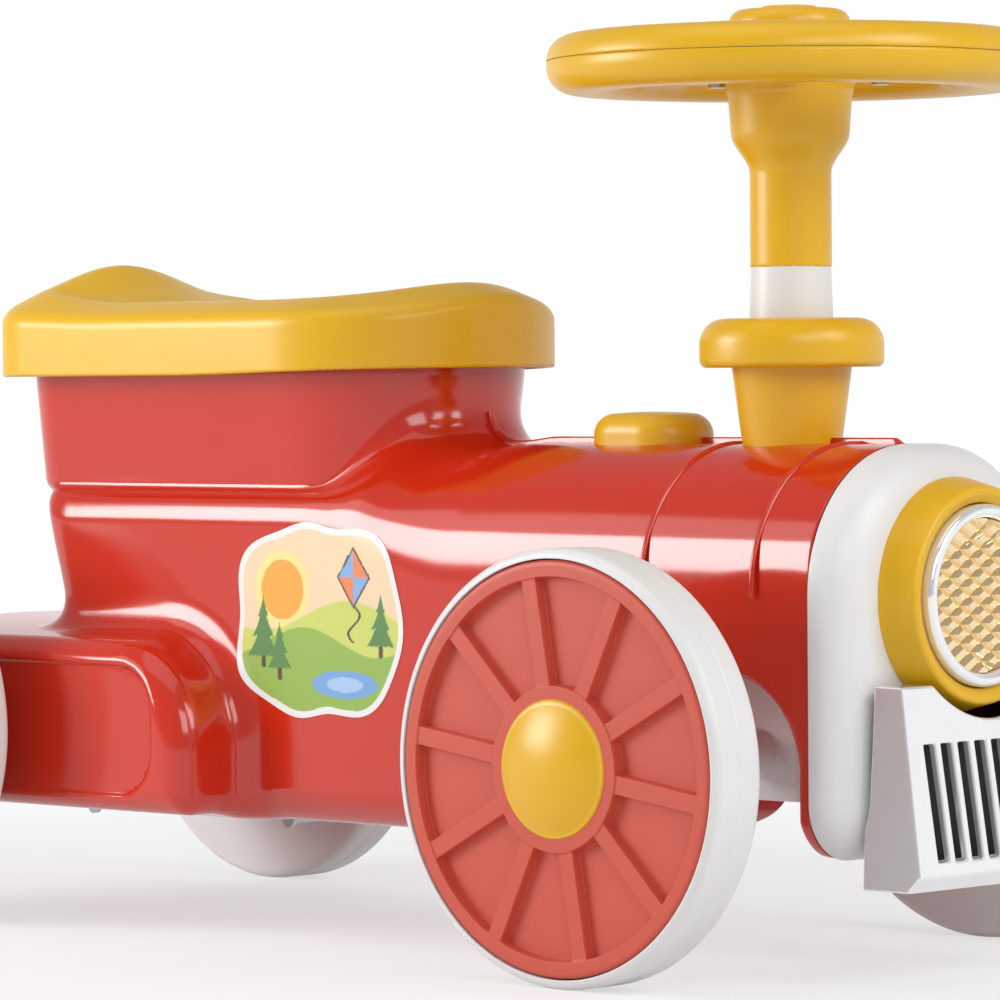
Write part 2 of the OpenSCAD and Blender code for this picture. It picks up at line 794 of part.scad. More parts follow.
// Points round the boiler's outline, drawn in by an inset, at a place along X
function front_ring(x, inset) =
    let (cy = boiler_half_w - crown_r, fy = boiler_half_w - foot_r)
    let (rc = crown_r - inset, rf = foot_r - inset)
    concat(
        [for (a = [0:10:90]) [x, cy + rc * cos(a), boiler_top - crown_r + rc * sin(a)]],
        [for (a = [90:10:180]) [x, -cy + rc * cos(a), boiler_top - crown_r + rc * sin(a)]],
        [for (a = [180:18:270]) [x, -fy + rf * cos(a), boiler_bottom + foot_r + rf * sin(a)]],
        [for (a = [270:18:360]) [x, fy + rf * cos(a), boiler_bottom + foot_r + rf * sin(a)]]
    );

dome_steps = [0, 18, 36, 54, 72, 90];

module panel_dome(grow)
    loft([for (t = dome_steps)
        front_ring(boiler_front + (panel_l + grow) * sin(t), dome_inset * (1 - cos(t)) - grow)]);

// Domed white panel that plugs into the boiler's front
module front_panel() color("#e6e6e7") at_column() difference() {
    loft(concat(
        [for (i = [len(dome_steps) - 1:-1:0]) let (t = dome_steps[i])
            front_ring(boiler_front + (panel_l - wall) * sin(t), plug_inset + plug_wall
                + (dome_inset - plug_inset - plug_wall + over / 2) * (1 - cos(t)))],
        [front_ring(boiler_front - plug_l, plug_inset + plug_wall)],
        [front_ring(boiler_front - plug_l, plug_inset)],
        [front_ring(boiler_front, plug_inset)],
        [for (t = dome_steps) front_ring(boiler_front + panel_l * sin(t), dome_inset * (1 - cos(t)))]
    ));
    on_lamp(-wall - over)
        cylinder(r = lamp_spigot_r + slide_gap, h = wall + 2 * over);
}

// Places along the headlight's axis, counted forward from the panel's face
module on_lamp(ahead) translate([panel_face + ahead, 0, lamp_z]) rotate([0, 90, 0]) children();

// Yellow headlight cup: a spigot in the panel, a closed back and a rounded collar in front
module headlight_ring() color("#eebe3c") at_column() on_lamp(0) difference() {
    union() {
        translate([0, 0, -spigot_depth])
            cylinder(r = lamp_spigot_r, h = spigot_depth + over);
        rotate_extrude($fn = 128)
            intersection() {
                square([lamp_ring_r, lamp_ring_l]);
                union() {
                    square([lamp_ring_r, lamp_ring_l - lamp_edge_r]);
                    square([lamp_ring_r - lamp_edge_r, lamp_ring_l]);
                    translate([lamp_ring_r - lamp_edge_r, lamp_ring_l - lamp_edge_r])
                        circle(lamp_edge_r);
                }
            }
    }
    translate([0, 0, lamp_back - spigot_depth])
        cylinder(r = lens_r, h = spigot_depth + lamp_ring_l, $fn = 128);
    translate([0, 0, bezel_seat])
        cylinder(r = bezel_r + run_gap, h = lamp_ring_l, $fn = 128);
    translate([0, 0, -spigot_depth - over])
        cylinder(r = lamp_r + run_gap, h = lamp_back + 2 * over);
}

module headlight_bezel() color("#dfe2e6") at_column() on_lamp(bezel_seat) rotate_extrude($fn = 128) {
    translate([bezel_r - bezel_w, 0])
        square([bezel_w, bezel_l - bezel_w / 2]);
    translate([bezel_r - bezel_w / 2, bezel_l - bezel_w / 2])
        circle(bezel_w / 2);
}

module prism_groove() {
    half_w = prism_pitch / 3;
    polygon([[-half_w, over / 2], [0, -prism_depth], [half_w, over / 2]]);
}

// Clear lens with two crossing rows of prism grooves on its face
module headlight_lens() color("#f3ead2", 0.6) at_column() on_lamp(bezel_seat) difference() {
    cylinder(r = lens_r, h = lens_h, $fn = 128);
    for (turn = [30, 150])
        for (i = [-floor(lens_r / prism_pitch):floor(lens_r / prism_pitch)])
            rotate([0, 0, turn])
                translate([(i + 0.5) * prism_pitch, 0, lens_h])
                    rotate([90, 0, 0])
                        translate([0, 0, -lens_r])
                            linear_extrude(2 * lens_r)
                                prism_groove();
}

// Lamp that shines through the lens from the cup's back
module headlight_lamp() color("#fff6d8") at_column() on_lamp(-spigot_depth) {
    cylinder(r = lamp_r, h = lamp_back + lamp_base_h);
    translate([0, 0, lamp_back + lamp_base_h])
        sphere(lamp_r);
    translate([0, 0, -lamp_base_h])
        cylinder(r = 1.5 * lamp_r, h = lamp_base_h);
}

// Side view of the grille: a raked front, a chamfered lower lip and an open back
module grille_side(inset) {
    top_x = panel_face + grille_top_l - inset;
    chin_x = lip_x - inset;
    back_x = panel_face - grille_lap;
    polygon([
        [back_x, grille_bottom + inset], [lip_x - lip_chamfer - inset / 2, grille_bottom + inset],
        [chin_x, grille_bottom + lip_chamfer + inset / 2], [top_x, grille_top - inset],
        [back_x, grille_top - inset]
    ]);
}

module grille_body(inset) {
    half_w = grille_half_w - inset;
    intersection() {
        across_y(grille_half_w + grille_flare)
            grille_side(inset);
        rotate([90, 0, 90])
            linear_extrude(2 * lip_x)
                polygon([
                    [-half_w - grille_flare, grille_bottom - over],
                    [half_w + grille_flare, grille_bottom - over],
                    [half_w, grille_top + over], [-half_w, grille_top + over]
                ]);
    }
}

// Chrome grille and buffer with its slots, seated on the front panel's dome
module grille() color("#d9dce0") at_column() difference() {
    grille_body(0);
    translate([-over, 0, 0])
        grille_body(grille_wall);
    panel_dome(slide_gap);
    on_lamp(-panel_l)
        cylinder(r = lamp_ring_r + slide_gap, h = 2 * panel_l, $fn = 128);
    for (i = [-(slot_count - 1) / 2:(slot_count - 1) / 2])
        translate([panel_face + grille_wall, i * slot_pitch - slot_w / 2, slot_bottom])
            cube([grille_lip_l, slot_w, slot_top - slot_bottom]);
}

// Dark sheet behind the slots
module grille_backing() color("#17181b") at_column()
    translate([panel_face + slide_gap, -grille_half_w + 2 * grille_wall, slot_bottom - backing_lap])
        cube([backing_h, 2 * (grille_half_w - 2 * grille_wall), slot_top - slot_bottom + 2 * backing_lap]);

module chimney() color("#eebe3c") at_column() difference() {
    rotate_extrude($fn = 96)
        polygon([
            [chimney_foot_r - chimney_wall, boiler_top - 2 * over], [chimney_foot_r, boiler_top - 2 * over],
            [chimney_top_r, chimney_z], [chimney_top_r - chimney_wall, chimney_z]
        ]);
    boiler_bar(-2 * cap_r, 2 * cap_r, band_h / 4);
}

// Rounded cap on the chimney, with a hole that the column passes through
module chimney_cap() color("#eebe3c") at_column() translate([0, 0, chimney_z]) rotate_extrude($fn = 128)
    difference() {
        union() {
            square([cap_r - cap_edge_r, cap_h]);
            square([cap_r, cap_h - cap_edge_r]);
            translate([cap_r - cap_edge_r, cap_h - cap_edge_r])
                circle(cap_edge_r, $fn = 96);
        }
        translate([-over, -over])
            square([column_r + slide_gap + over, cap_h + 2 * over]);
        translate([chimney_top_r + over, -over])
            square([cap_r - wall - chimney_top_r - over, cap_h - cap_edge_r]);
        translate([-cap_r, -cap_h])
            square([3 * cap_r, cap_h]);
    }

// Bush that carries the boiler on the steering column, held between the body's webs
module column_bush() color("#3a3c40") at_column() difference() {
    union() {
        translate([0, 0, carrier_neck_top + slide_gap])
            cylinder(r = bush_r, h = bush_top - carrier_neck_top - slide_gap);
        translate([0, 0, web_z - bush_flange_h])
            cylinder(r = bush_flange_r, h = bush_flange_h);
    }
    translate([0, 0, carrier_neck_top])
        cylinder(r = column_r + run_gap, h = bush_top);
}

// Press button on the boiler: an oval dome with a retaining flange under the shell
module boiler_button() color("#eebe3c") at_column() {
    loft(concat(
        [for (s = [[button_root, 0], [boiler_top + button_rise * 0.55, 0.6]]) button_ring(s[0], s[1])],
        [for (t = [20, 40, 60, 80]) button_ring(
            boiler_top + button_rise * mix(0.55, 1, sin(t)), 0.6 + button_edge * (1 - cos(t)))],
        [button_ring(boiler_top + button_rise + 0.3, button_edge + 4)]
    ));
    translate([0, 0, button_root - flange_h])
        linear_extrude(flange_h)
            button_plan(flange_w);
}

function button_ring(z, inset) =
    let (r = button_w / 2 - inset, run = (button_l - button_w) / 2)
    concat(
        [for (a = [-90:15:90]) [-button_x + run + r * cos(a), r * sin(a), z]],
        [for (a = [90:15:270]) [-button_x - run + r * cos(a), r * sin(a), z]]
    );

// Box under the button with its switch, hung from the boiler's roof on four posts
module sound_module() color("#2b2d31") at_column() {
    translate([-button_x - module_l / 2, -module_w / 2, module_z])
        cube([module_l, module_w, module_h]);
    translate([-button_x, 0, module_z + module_h])
        cylinder(r = plunger_r, h = button_root - flange_h - button_travel - slide_gap - module_z - module_h);
    intersection() {
        boiler_bar(-button_x - module_l, -button_x + module_l, -wall - slide_gap);
        for (sx = [-1, 1])
            for (sy = [-1, 1])
                translate([-button_x + sx * (module_l / 2 - post_r), sy * (module_w / 2 - post_r), module_z])
                    cylinder(r = post_r, h = boiler_top - module_z);
    }
}

// White block on the front axle, with a socket for the steering column
module axle_carrier() color("#e6e6e7") at_column() difference() {
    union() {
        translate([0, 0, carrier_bottom])
            linear_extrude(carrier_top - carrier_bottom)
                rounded_square(2 * carrier_half_l, 2 * carrier_half_w, carrier_corner_r);
        translate([0, 0, carrier_top])
            cylinder(r = carrier_neck_r, h = carrier_neck_top - carrier_top);
    }
    translate([0, 0, socket_floor])
        cylinder(r = column_r + run_gap, h = carrier_neck_top);
    along_axle(carrier_half_w + over)
        cylinder(r = axle_r + run_gap, h = 2 * carrier_half_w + 2 * over);
    translate([0, 0, pin_z_low])
        rotate([0, 90, 0])
            cylinder(r = pin_r + run_gap, h = 3 * carrier_half_l, center = true);
}

module rounded_square(l, w, r) {
    square([l - 2 * r, w], center = true);
    square([l, w - 2 * r], center = true);
    for (sx = [-1, 1])
        for (sy = [-1, 1])
            translate([sx * (l / 2 - r), sy * (w / 2 - r)])
                circle(r);
}

module along_axle(half_l) translate([0, half_l, axle_z]) rotate([90, 0, 0]) children();

// White column with a slimmer spigot that goes up into the wheel's sleeve
module steering_column() color("#ececed") at_column() difference() {
    union() {
        translate([0, 0, socket_floor])
            cylinder(r = column_r, h = sleeve_z - socket_floor);
        translate([0, 0, sleeve_z])
            cylinder(r = spigot_r, h = spigot_top - sleeve_z);
    }
    translate([0, 0, socket_floor - over])
        cylinder(r = spigot_r - spigot_wall, h = spigot_top);
    for (z = [pin_z_low, pin_z_high])
        translate([0, 0, z])
            rotate([0, 90, 0])
                cylinder(r = pin_r + run_gap, h = 3 * column_r, center = true);
}

// Cross pins that lock the column to the carrier and to the wheel's sleeve
module column_pins() color("#b8bcc2") at_column() {
    translate([0, 0, pin_z_low])
        rotate([0, 90, 0])
            cylinder(r = pin_r, h = 2 * carrier_half_l - 2 * over, center = true);
    translate([0, 0, pin_z_high])
        rotate([0, 90, 0])
            cylinder(r = pin_r, h = 2 * sleeve_r - over, center = true);
}

// Section of the steering wheel's rim, or of the room inside its wall
module rim_section(inset) {
    for (sx = [-1, 1])
        for (z = [helm_low + helm_edge_r, helm_low + helm_rim_h - helm_edge_r])
            translate([helm_mid_r + sx * (helm_rim_w / 2 - helm_edge_r), z])
                circle(helm_edge_r - inset);
    translate([helm_mid_r - helm_rim_w / 2 + helm_edge_r, helm_low + inset])
        square([helm_rim_w - 2 * helm_edge_r, helm_rim_h - 2 * inset]);
    translate([helm_mid_r - helm_rim_w / 2 + inset, helm_low + helm_edge_r])
        square([helm_rim_w - 2 * inset, helm_rim_h - 2 * helm_edge_r]);
}

module rim_hollow() rotate_extrude($fn = 128) rim_section(helm_wall);

module arms(low, high)
    for (a = [0:120:240])
        rotate([0, 0, a + 60])
            translate([0, -arm_w / 2, low])
                cube([helm_mid_r, arm_w, high - low]);

// Lower half of the steering wheel with its hub and sleeve
module steering_wheel_base() color("#eebe3c") at_column() difference() {
    union() {
        rotate_extrude($fn = 128)
            intersection() {
                rim_section(0);
                square([2 * helm_r, helm_z]);
            }
        rotate_extrude($fn = 96)
            polygon([
                [0, sleeve_z], [sleeve_r, sleeve_z], [sleeve_r, hub_shoulder_z],
                [mix(sleeve_r, hub_low_r, 0.18), mix(hub_shoulder_z, hub_base_z, 0.4)],
                [mix(sleeve_r, hub_low_r, 0.78), mix(hub_shoulder_z, hub_base_z, 0.75)],
                [hub_low_r, hub_base_z], [hub_high_r, helm_z - arm_h / 2], [hub_high_r, helm_z], [0, helm_z]
            ]);
        arms(helm_z - arm_h / 2, helm_z);
    }
    rim_hollow();
    translate([0, 0, sleeve_z - over])
        cylinder(r = spigot_r + run_gap, h = spigot_top + slide_gap - sleeve_z + over);
    translate([0, 0, spigot_top])
        cylinder(r = horn_r + horn_flange + slide_gap, h = helm_z);
    translate([0, 0, pin_z_high])
        rotate([0, 90, 0])
            cylinder(r = pin_r + run_gap, h = 4 * sleeve_r, center = true);
    helm_screw_places()
        cylinder(r = helm_screw_r + run_gap, h = helm_z);
}

module helm_screw_places()
    for (a = [0:120:240])
        rotate([0, 0, a + 60])
            translate([helm_screw_ring, 0, 0])
                children();

// Upper half of the steering wheel with the pad that holds the horn button
module steering_wheel_top() color("#eebe3c") at_column() difference() {
    union() {
        rotate_extrude($fn = 128)
            intersection() {
                rim_section(0);
                translate([0, helm_z])
                    square([2 * helm_r, helm_rim_h]);
            }
        rotate_extrude($fn = 96)
            intersection() {
                translate([0, helm_z])
                    square([pad_r, pad_z - helm_z]);
                union() {
                    translate([0, helm_z])
                        square([pad_r, pad_z - helm_z - pad_edge_r]);
                    translate([0, helm_z])
                        square([pad_r - pad_edge_r, pad_z - helm_z]);
                    translate([pad_r - pad_edge_r, pad_z - pad_edge_r])
                        circle(pad_edge_r);
                }
            }
        arms(helm_z, helm_z + arm_h / 2);
    }
    rim_hollow();
    translate([0, 0, helm_z - over])
        cylinder(r = horn_r + slide_gap, h = pad_z);
    translate([0, 0, helm_z - over])
        cylinder(r = horn_r + horn_flange + slide_gap, h = horn_seat + over);
    helm_screw_places()
        translate([0, 0, helm_z - over])
            cylinder(r = helm_screw_r - helm_screw_bite, h = arm_h / 2 - helm_screw_roof + over);
}

// Screws that clamp the wheel's halves together from below
module steering_screws() color("#b8bcc2") at_column() helm_screw_places() {
    translate([0, 0, helm_z - arm_h / 2 - helm_screw_r])
        cylinder(r = 2 * helm_screw_r, h = helm_screw_r);
    translate([0, 0, helm_z - arm_h / 2])
        cylinder(r = helm_screw_r - 1.25 * helm_screw_bite, h = arm_h - 1.5 * helm_screw_roof);
}

// Horn button in the wheel's pad, held by a flange
module horn_button() color("#f0c65a") at_column() {
    translate([0, 0, helm_z + horn_seat - horn_flange_h])
        cylinder(r = horn_r + horn_flange, h = horn_flange_h - slide_gap);
    translate([0, 0, helm_z + horn_seat - slide_gap])
        cylinder(r = horn_r, h = pad_z + horn_rise - helm_z - horn_seat + slide_gap);
}

// Rubber squeaker under the horn button
module horn_squeaker() color("#c9a23a") at_column() translate([0, 0, spigot_top]) rotate_extrude()
    polygon([
        [0, 0], [squeaker_r, 0], [squeaker_r, 0.15 * squeaker_h], [0.75 * squeaker_r, 0.28 * squeaker_h],
        [squeaker_r, 0.42 * squeaker_h], [0.75 * squeaker_r, 0.55 * squeaker_h],
        [squeaker_r, 0.7 * squeaker_h], [0.4 * squeaker_r, squeaker_h], [0, squeaker_h]
    ]);

// Steel axle from wheel to wheel
module axle() along_axle(axle_half_l) cylinder(r = axle_r, h = 2 * axle_half_l);

module front_axle() color("#b8bcc2") at_column() axle();

module rear_axle() color("#b8bcc2") at_column() translate([-wheelbase, 0, 0]) axle();

// Tube round the axle between a carrier's side and a wheel, on both sides
module spacer_pair(from)
    for (side = [0, 1])
        mirror([0, side, 0])
            translate([0, wheel_inner_y - slide_gap, axle_z])
                rotate([90, 0, 0])
                    difference() {
                        cylinder(r = spacer_r, h = wheel_inner_y - slide_gap - from);
                        translate([0, 0, -over])
                            cylinder(r = axle_r + run_gap, h = wheel_inner_y);
                    }

module front_spacers() color("#e6e6e7") at_column() spacer_pair(carrier_half_w);

module rear_spacers() color("#e6e6e7") at_column() translate([-wheelbase, 0, 0])
    spacer_pair(block_half_w - panel_depth - wall / 2 - bush_seat_l);

// Push-on caps that keep the wheels on an axle
module nut_pair()
    for (side = [0, 1])
        mirror([0, side, 0])
            translate([0, wheel_inner_y + hub_top + slide_gap, axle_z])
                rotate([-90, 0, 0])
                    difference() {
                        cylinder(r = nut_r, h = nut_h);
                        translate([0, 0, -over])
                            cylinder(r = axle_r + run_gap / 2, h = nut_h + 2 * over);
                    }

module front_nuts() color("#b8bcc2") at_column() nut_pair();

module rear_nuts() color("#b8bcc2") at_column() translate([-wheelbase, 0, 0]) nut_pair();

// A wheel part stands on the drum's inner face, with its outside towards +Z
module wheel_place(back, side)
    translate([column_x - back, side * wheel_inner_y, axle_z])
        rotate([-90 * side, 0, 0])
            children();

// White drum: a rounded tread, a web on the inner side and a hub that runs on the axle
module wheel_drum(back, side) color("#e9e9ea") wheel_place(back, side)
    rotate_extrude($fn = 128) difference() {
    union() {
        translate([0, tyre_edge_r])
            square([wheel_r, wheel_w - 2 * tyre_edge_r]);
        square([wheel_r - tyre_edge_r, wheel_w]);
        for (y = [tyre_edge_r, wheel_w - tyre_edge_r])
            translate([wheel_r - tyre_edge_r, y])
                circle(tyre_edge_r);
    }
    translate([-over, -over])
        square([axle_r + run_gap + over, wheel_w + 2 * over]);
    translate([hub_r, tyre_wall])
        square([cover_r - tyre_wall - hub_r, wheel_w]);
    translate([axle_r, hub_top])
        square([hub_r, wheel_w]);
    translate([axle_r, wheel_w - cover_h])
        square([cover_r - axle_r, cover_h + over]);
}

// Red cover set into the drum: a rim ring, spokes and a hub ring over sunken fields
module wheel_cover(back, side) color("#cf3a22") wheel_place(back, side)
    translate([0, 0, wheel_w - cover_h]) difference() {
    union() {
        cylinder(r = cover_r - slide_gap, h = cover_h - spoke_relief, $fn = 128);
        difference() {
            cylinder(r = cover_r - slide_gap, h = cover_h, $fn = 128);
            cylinder(r = cover_r - cover_rim_w, h = cover_h + over, $fn = 128);
        }
        cylinder(r = hub_cap_r + hub_ring_w, h = cover_h, $fn = 96);
        intersection() {
            cylinder(r = cover_r - over, h = cover_h, $fn = 128);
            for (i = [0:spoke_count - 1])
                rotate([0, 0, spoke_turn + i * 360 / spoke_count])
                    translate([0, -spoke_w / 2, 0])
                        cube([cover_r, spoke_w, cover_h - spoke_step]);
        }
    }
    translate([0, 0, -over])
        cylinder(r = hub_cap_r - hub_cap_lap, h = cover_h + 2 * over, $fn = 96);
    translate([0, 0, cover_h - hub_cap_sink])
        cylinder(r = hub_cap_r + run_gap, h = cover_h, $fn = 96);
    translate([0, 0, -over])
        difference() {
            cylinder(r = cover_r - cover_rim_w, h = cover_h - spoke_relief - cover_floor + over, $fn = 128);
            cylinder(r = hub_cap_r + hub_ring_w, h = cover_h, $fn = 96);
        }
}

// Yellow domed cap over the axle's end
module hub_cap(back, side) color("#eebe3c") wheel_place(back, side) translate([0, 0, wheel_w - hub_cap_sink])
    rotate_extrude($fn = 96) difference() {
        hub_cap_dome(0);
        hub_cap_dome(hub_cap_wall);
    }

module hub_cap_dome(inset) {
    rise = hub_cap_rise;
    ball_r = (hub_cap_r * hub_cap_r + rise * rise) / (2 * rise);
    square([hub_cap_r - inset, hub_cap_sink - inset]);
    intersection() {
        translate([0, hub_cap_sink + rise - ball_r])
            circle(ball_r - inset, $fn = 192);
        square([hub_cap_r - inset, hub_cap_sink + rise]);
    }
}

body_left();
body_right();
body_screws();
storage_bin();
seat();
front_panel();
headlight_ring();
headlight_bezel();
headlight_lens();
headlight_lamp();
grille();
grille_backing();
chimney();
chimney_cap();
column_bush();
boiler_button();
sound_module();
axle_carrier();
steering_column();
column_pins();
steering_wheel_base();
steering_wheel_top();
steering_screws();
horn_button();
horn_squeaker();
front_axle();
rear_axle();
front_spacers();
rear_spacers();
front_nuts();
rear_nuts();
wheel_drum(0, 1);  // front_left_drum
wheel_cover(0, 1);  // front_left_cover
hub_cap(0, 1);  // front_left_hub_cap
wheel_drum(0, -1);  // front_right_drum
wheel_cover(0, -1);  // front_right_cover
hub_cap(0, -1);  // front_right_hub_cap
wheel_drum(wheelbase, 1);  // rear_left_drum
wheel_cover(wheelbase, 1);  // rear_left_cover
hub_cap(wheelbase, 1);  // rear_left_hub_cap
wheel_drum(wheelbase, -1);  // rear_right_drum
wheel_cover(wheelbase, -1);  // rear_right_cover
hub_cap(wheelbase, -1);  // rear_right_hub_cap
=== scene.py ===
"""Looks of the ride-on train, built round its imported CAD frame.

Fields and profiles are in millimetres, with X counted from the steering column, as in the part's source.
"""

import json
import math

import bmesh
import bpy
import numpy as np
from mathutils import Matrix, Vector


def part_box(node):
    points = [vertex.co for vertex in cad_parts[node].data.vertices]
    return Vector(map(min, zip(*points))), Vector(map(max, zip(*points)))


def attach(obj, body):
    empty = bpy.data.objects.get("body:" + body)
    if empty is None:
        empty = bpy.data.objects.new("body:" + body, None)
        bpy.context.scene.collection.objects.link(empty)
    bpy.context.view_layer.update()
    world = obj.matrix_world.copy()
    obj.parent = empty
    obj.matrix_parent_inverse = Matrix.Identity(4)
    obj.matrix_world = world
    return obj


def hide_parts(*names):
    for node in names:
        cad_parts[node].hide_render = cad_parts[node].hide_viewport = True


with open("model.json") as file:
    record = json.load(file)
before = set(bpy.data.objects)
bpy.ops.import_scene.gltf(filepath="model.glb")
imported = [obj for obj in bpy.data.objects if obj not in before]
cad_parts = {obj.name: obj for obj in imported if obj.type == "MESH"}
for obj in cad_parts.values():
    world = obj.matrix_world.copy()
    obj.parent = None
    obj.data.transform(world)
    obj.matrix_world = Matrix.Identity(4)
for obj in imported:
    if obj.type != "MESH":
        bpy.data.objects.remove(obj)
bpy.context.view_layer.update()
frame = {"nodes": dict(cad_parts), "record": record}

MM = 0.001

BODY_STEP = 1.7
SEAT_STEP = 1.6
HELM_STEP = 1.25
BUTTON_STEP = 1.0
NET_MARGIN = 3.0
TURN_SEGMENTS = 256
DECAL_RINGS, DECAL_TURNS = ((110, 320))


def mm_box(node):
    """Lowest and highest corner of a CAD node in millimetres."""
    low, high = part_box(node)
    return np.array(low) / MM, np.array(high) / MM


# Places that come from the frame
_low, _high = mm_box("steering_column")
COLUMN_X = (_low[0] + _high[0]) / 2
COLUMN_R = (_high[0] - _low[0]) / 2
_low, _high = mm_box("front_right_drum")
WHEEL_R = (_high[2] - _low[2]) / 2
AXLE_Z = (_high[2] + _low[2]) / 2
WHEEL_FACE = -_low[1]
WHEEL_W = _high[1] - _low[1]
_low, _high = mm_box("rear_right_drum")
WHEELBASE = COLUMN_X - (_low[0] + _high[0]) / 2

# Boiler and seat box
BOILER_W = 69.0
BOILER_TOP = 213.0
BOILER_BOTTOM = 48.0
BOILER_FRONT = 66.5
CROWN_R = 60.0
FOOT_R = 24.0
BOX_FRONT = 175.7
BOX_REAR = 413.0
BOX_W = 62.7
BOX_RIM, BOX_RIM_EDGE = 258.0, 2.0
BOX_TAPER = 5.5
BOX_CENTRE = BOX_FRONT + BOX_W
BOX_CORNER = 25.0
BOX_WALL = 5.5
MOUTH_FLOOR, MOUTH_EDGE = 163.0, 1.0
SKIRT_Z = 242.5
WAIST_Z = 195.0
BOX_BOTTOM = WAIST_Z - 24
WALL_STEP, WALL_STEP_H = 14.0, 14.0
WALL_STEP_TOP = WAIST_Z + 1
WALL_LEAN = 14.0
WALL_LEAD = 7.0  # how far above the wall's step the mouth's own lies
SHOULDER_TOP = WAIST_Z - 2
SHOULDER_R, SHOULDER_EDGE = 16.0, 6.0
SHOULDER_LEAD, SHOULDER_RUN = 13.0, 95.0  # start and length of the rise to the crown
WAIST_FILLET, NECK_FILLET, NECK_RUN = 2.5, 38.0, 45.0

# Rear block, front arch, side panels and screw bosses
BLOCK_FRONT = 258.0
BLOCK_OVERHANG = 47.0
BLOCK_REAR = WHEELBASE + BLOCK_OVERHANG
BLOCK_W = 105.0
BLOCK_TOP = 126.0
BLOCK_BOTTOM = 52.0
BLOCK_CROWN = 6.0
BLOCK_EDGE, BLOCK_FILLET = 14.0, 18.0
NOSE_R, NOSE_FOOT_R = 47.0, 10.0
ARCH_W = 60.0
ARCH_TOP = 122.0
ARCH_R = 40.0
ARCH_REAR_FLARE, ARCH_FRONT_FLARE, ARCH_EDGE = 13.0, 3.0, 3.0
PANEL_DEPTH = 3.4
PANEL_R, PANEL_EDGE = 20.0, 5.0
PANEL_FOOT, PANEL_HEAD, PANEL_END = 9.0, 10.3, 22.0  # what is left of the block round the panel
BOSS_XS = (-290.0, -420.0)
BOSS_Z, BOSS_R, BOSS_W = BOILER_BOTTOM - 4, 6.0, 14.0
BOSS_EDGE, BOSS_FILLET = 1.0, 2.0


# Distances and blends that shape the moulded pieces
def clamp01(t):
    return np.clip(t, 0.0, 1.0)


def ease(t):
    t = clamp01(t)
    return t * t * (3 - 2 * t)


def mix(a, b, t):
    return a + (b - a) * t


def corner(a, b, r):
    """Inside both a and b, with their edge rounded to r."""
    out = np.sqrt(np.maximum(a + r, 0) ** 2 + np.maximum(b + r, 0) ** 2)
    return out + np.minimum(np.maximum(a + r, b + r), 0) - r


def blend(a, b, k):
    """Inside a or b, with a fillet of size k between them."""
    return np.minimum(a, b) - np.maximum(k - np.abs(a - b), 0) ** 2 / (4 * k)


def carve(a, b, k):
    """Inside a but not inside b, with an edge softened by k."""
    return -blend(-a, b, k)


def d_plan(x, y, half_w, rear, r):
    """Distance to the seat box's plan: a round front and a square rear with rounded corners."""
    round_front = np.hypot(x + BOX_CENTRE, y) - half_w
    square_rear = corner(np.abs(y) - half_w, -rear - x, r)
    return np.where(x > -BOX_CENTRE, round_front, square_rear)


def rear_lean(z):
    """Lean of the rear wall, which slopes forward from the waist down to the block."""
    return WALL_LEAN * ease((WAIST_Z - z) / (WAIST_Z - BLOCK_TOP))


def rear_wall(z):
    """Place of the box's rear wall, which steps in below the waist."""
    return BOX_REAR - WALL_STEP * ease((WALL_STEP_TOP - z) / WALL_STEP_H) - rear_lean(z)


def base_rear(z):
    """Place of the rear wall under the waist."""
    return BOX_REAR - WALL_STEP - rear_lean(z)


def box_half_w(z):
    """Half the seat box's width, which narrows from its skirt to its waist."""
    return BOX_W - BOX_TAPER * clamp01((SKIRT_Z - z) / (SKIRT_Z - WAIST_Z))


def base_field(x, y, z):
    """The boiler and the lower body behind it, whose top falls from the crown to the shoulder."""
    share = ease((x + BOX_CENTRE - SHOULDER_LEAD) / SHOULDER_RUN)
    top = mix(SHOULDER_TOP, BOILER_TOP, share)
    side = np.abs(y) - BOILER_W
    upper = corner(side, z - top, mix(SHOULDER_R, CROWN_R, share))
    lower = corner(side, BOILER_BOTTOM - z, FOOT_R)
    rear = corner(side, -base_rear(z) - x, BOX_CORNER)
    return np.maximum(corner(upper, rear, SHOULDER_EDGE), lower)


def seat_box_field(x, y, z):
    """The box under the seat, from its rim down into the lower body."""
    plan = d_plan(x, y, box_half_w(z), rear_wall(z), BOX_CORNER)
    return np.maximum(corner(plan, z - BOX_RIM, BOX_RIM_EDGE), BOX_BOTTOM - z)


def block_field(x, y, z):
    """The block that carries the rear axle."""
    top = BLOCK_TOP + BLOCK_CROWN * (1 - np.minimum(np.abs(y) / BLOCK_W, 1) ** 2)
    nose = corner(x + BLOCK_FRONT, z - top, NOSE_R)
    foot = corner(x + BLOCK_FRONT, BLOCK_BOTTOM - z, NOSE_FOOT_R)
    tail = corner(np.maximum(nose, foot), -BLOCK_REAR - x, BLOCK_EDGE)
    return corner(tail, np.abs(y) - BLOCK_W, BLOCK_EDGE)


def side_panel_field(x, z):
    """Distance to the outline of the panel sunk into the block's side."""
    low, high = BLOCK_BOTTOM + PANEL_FOOT, BLOCK_TOP - PANEL_HEAD
    rear, front = -BLOCK_REAR + PANEL_END, -BLOCK_FRONT - PANEL_END
    along = np.abs(x - (rear + front) / 2) - (front - rear) / 2
    return corner(along, np.abs(z - (low + high) / 2) - (high - low) / 2, PANEL_R)


def body_skin(x, y, z):
    """The moulded body without its openings."""
    fillet = mix(WAIST_FILLET, NECK_FILLET, ease((x + BOX_CENTRE - SHOULDER_LEAD) / NECK_RUN))
    body = blend(base_field(x, y, z), seat_box_field(x, y, z), fillet)
    return blend(body, block_field(x, y, z), BLOCK_FILLET)


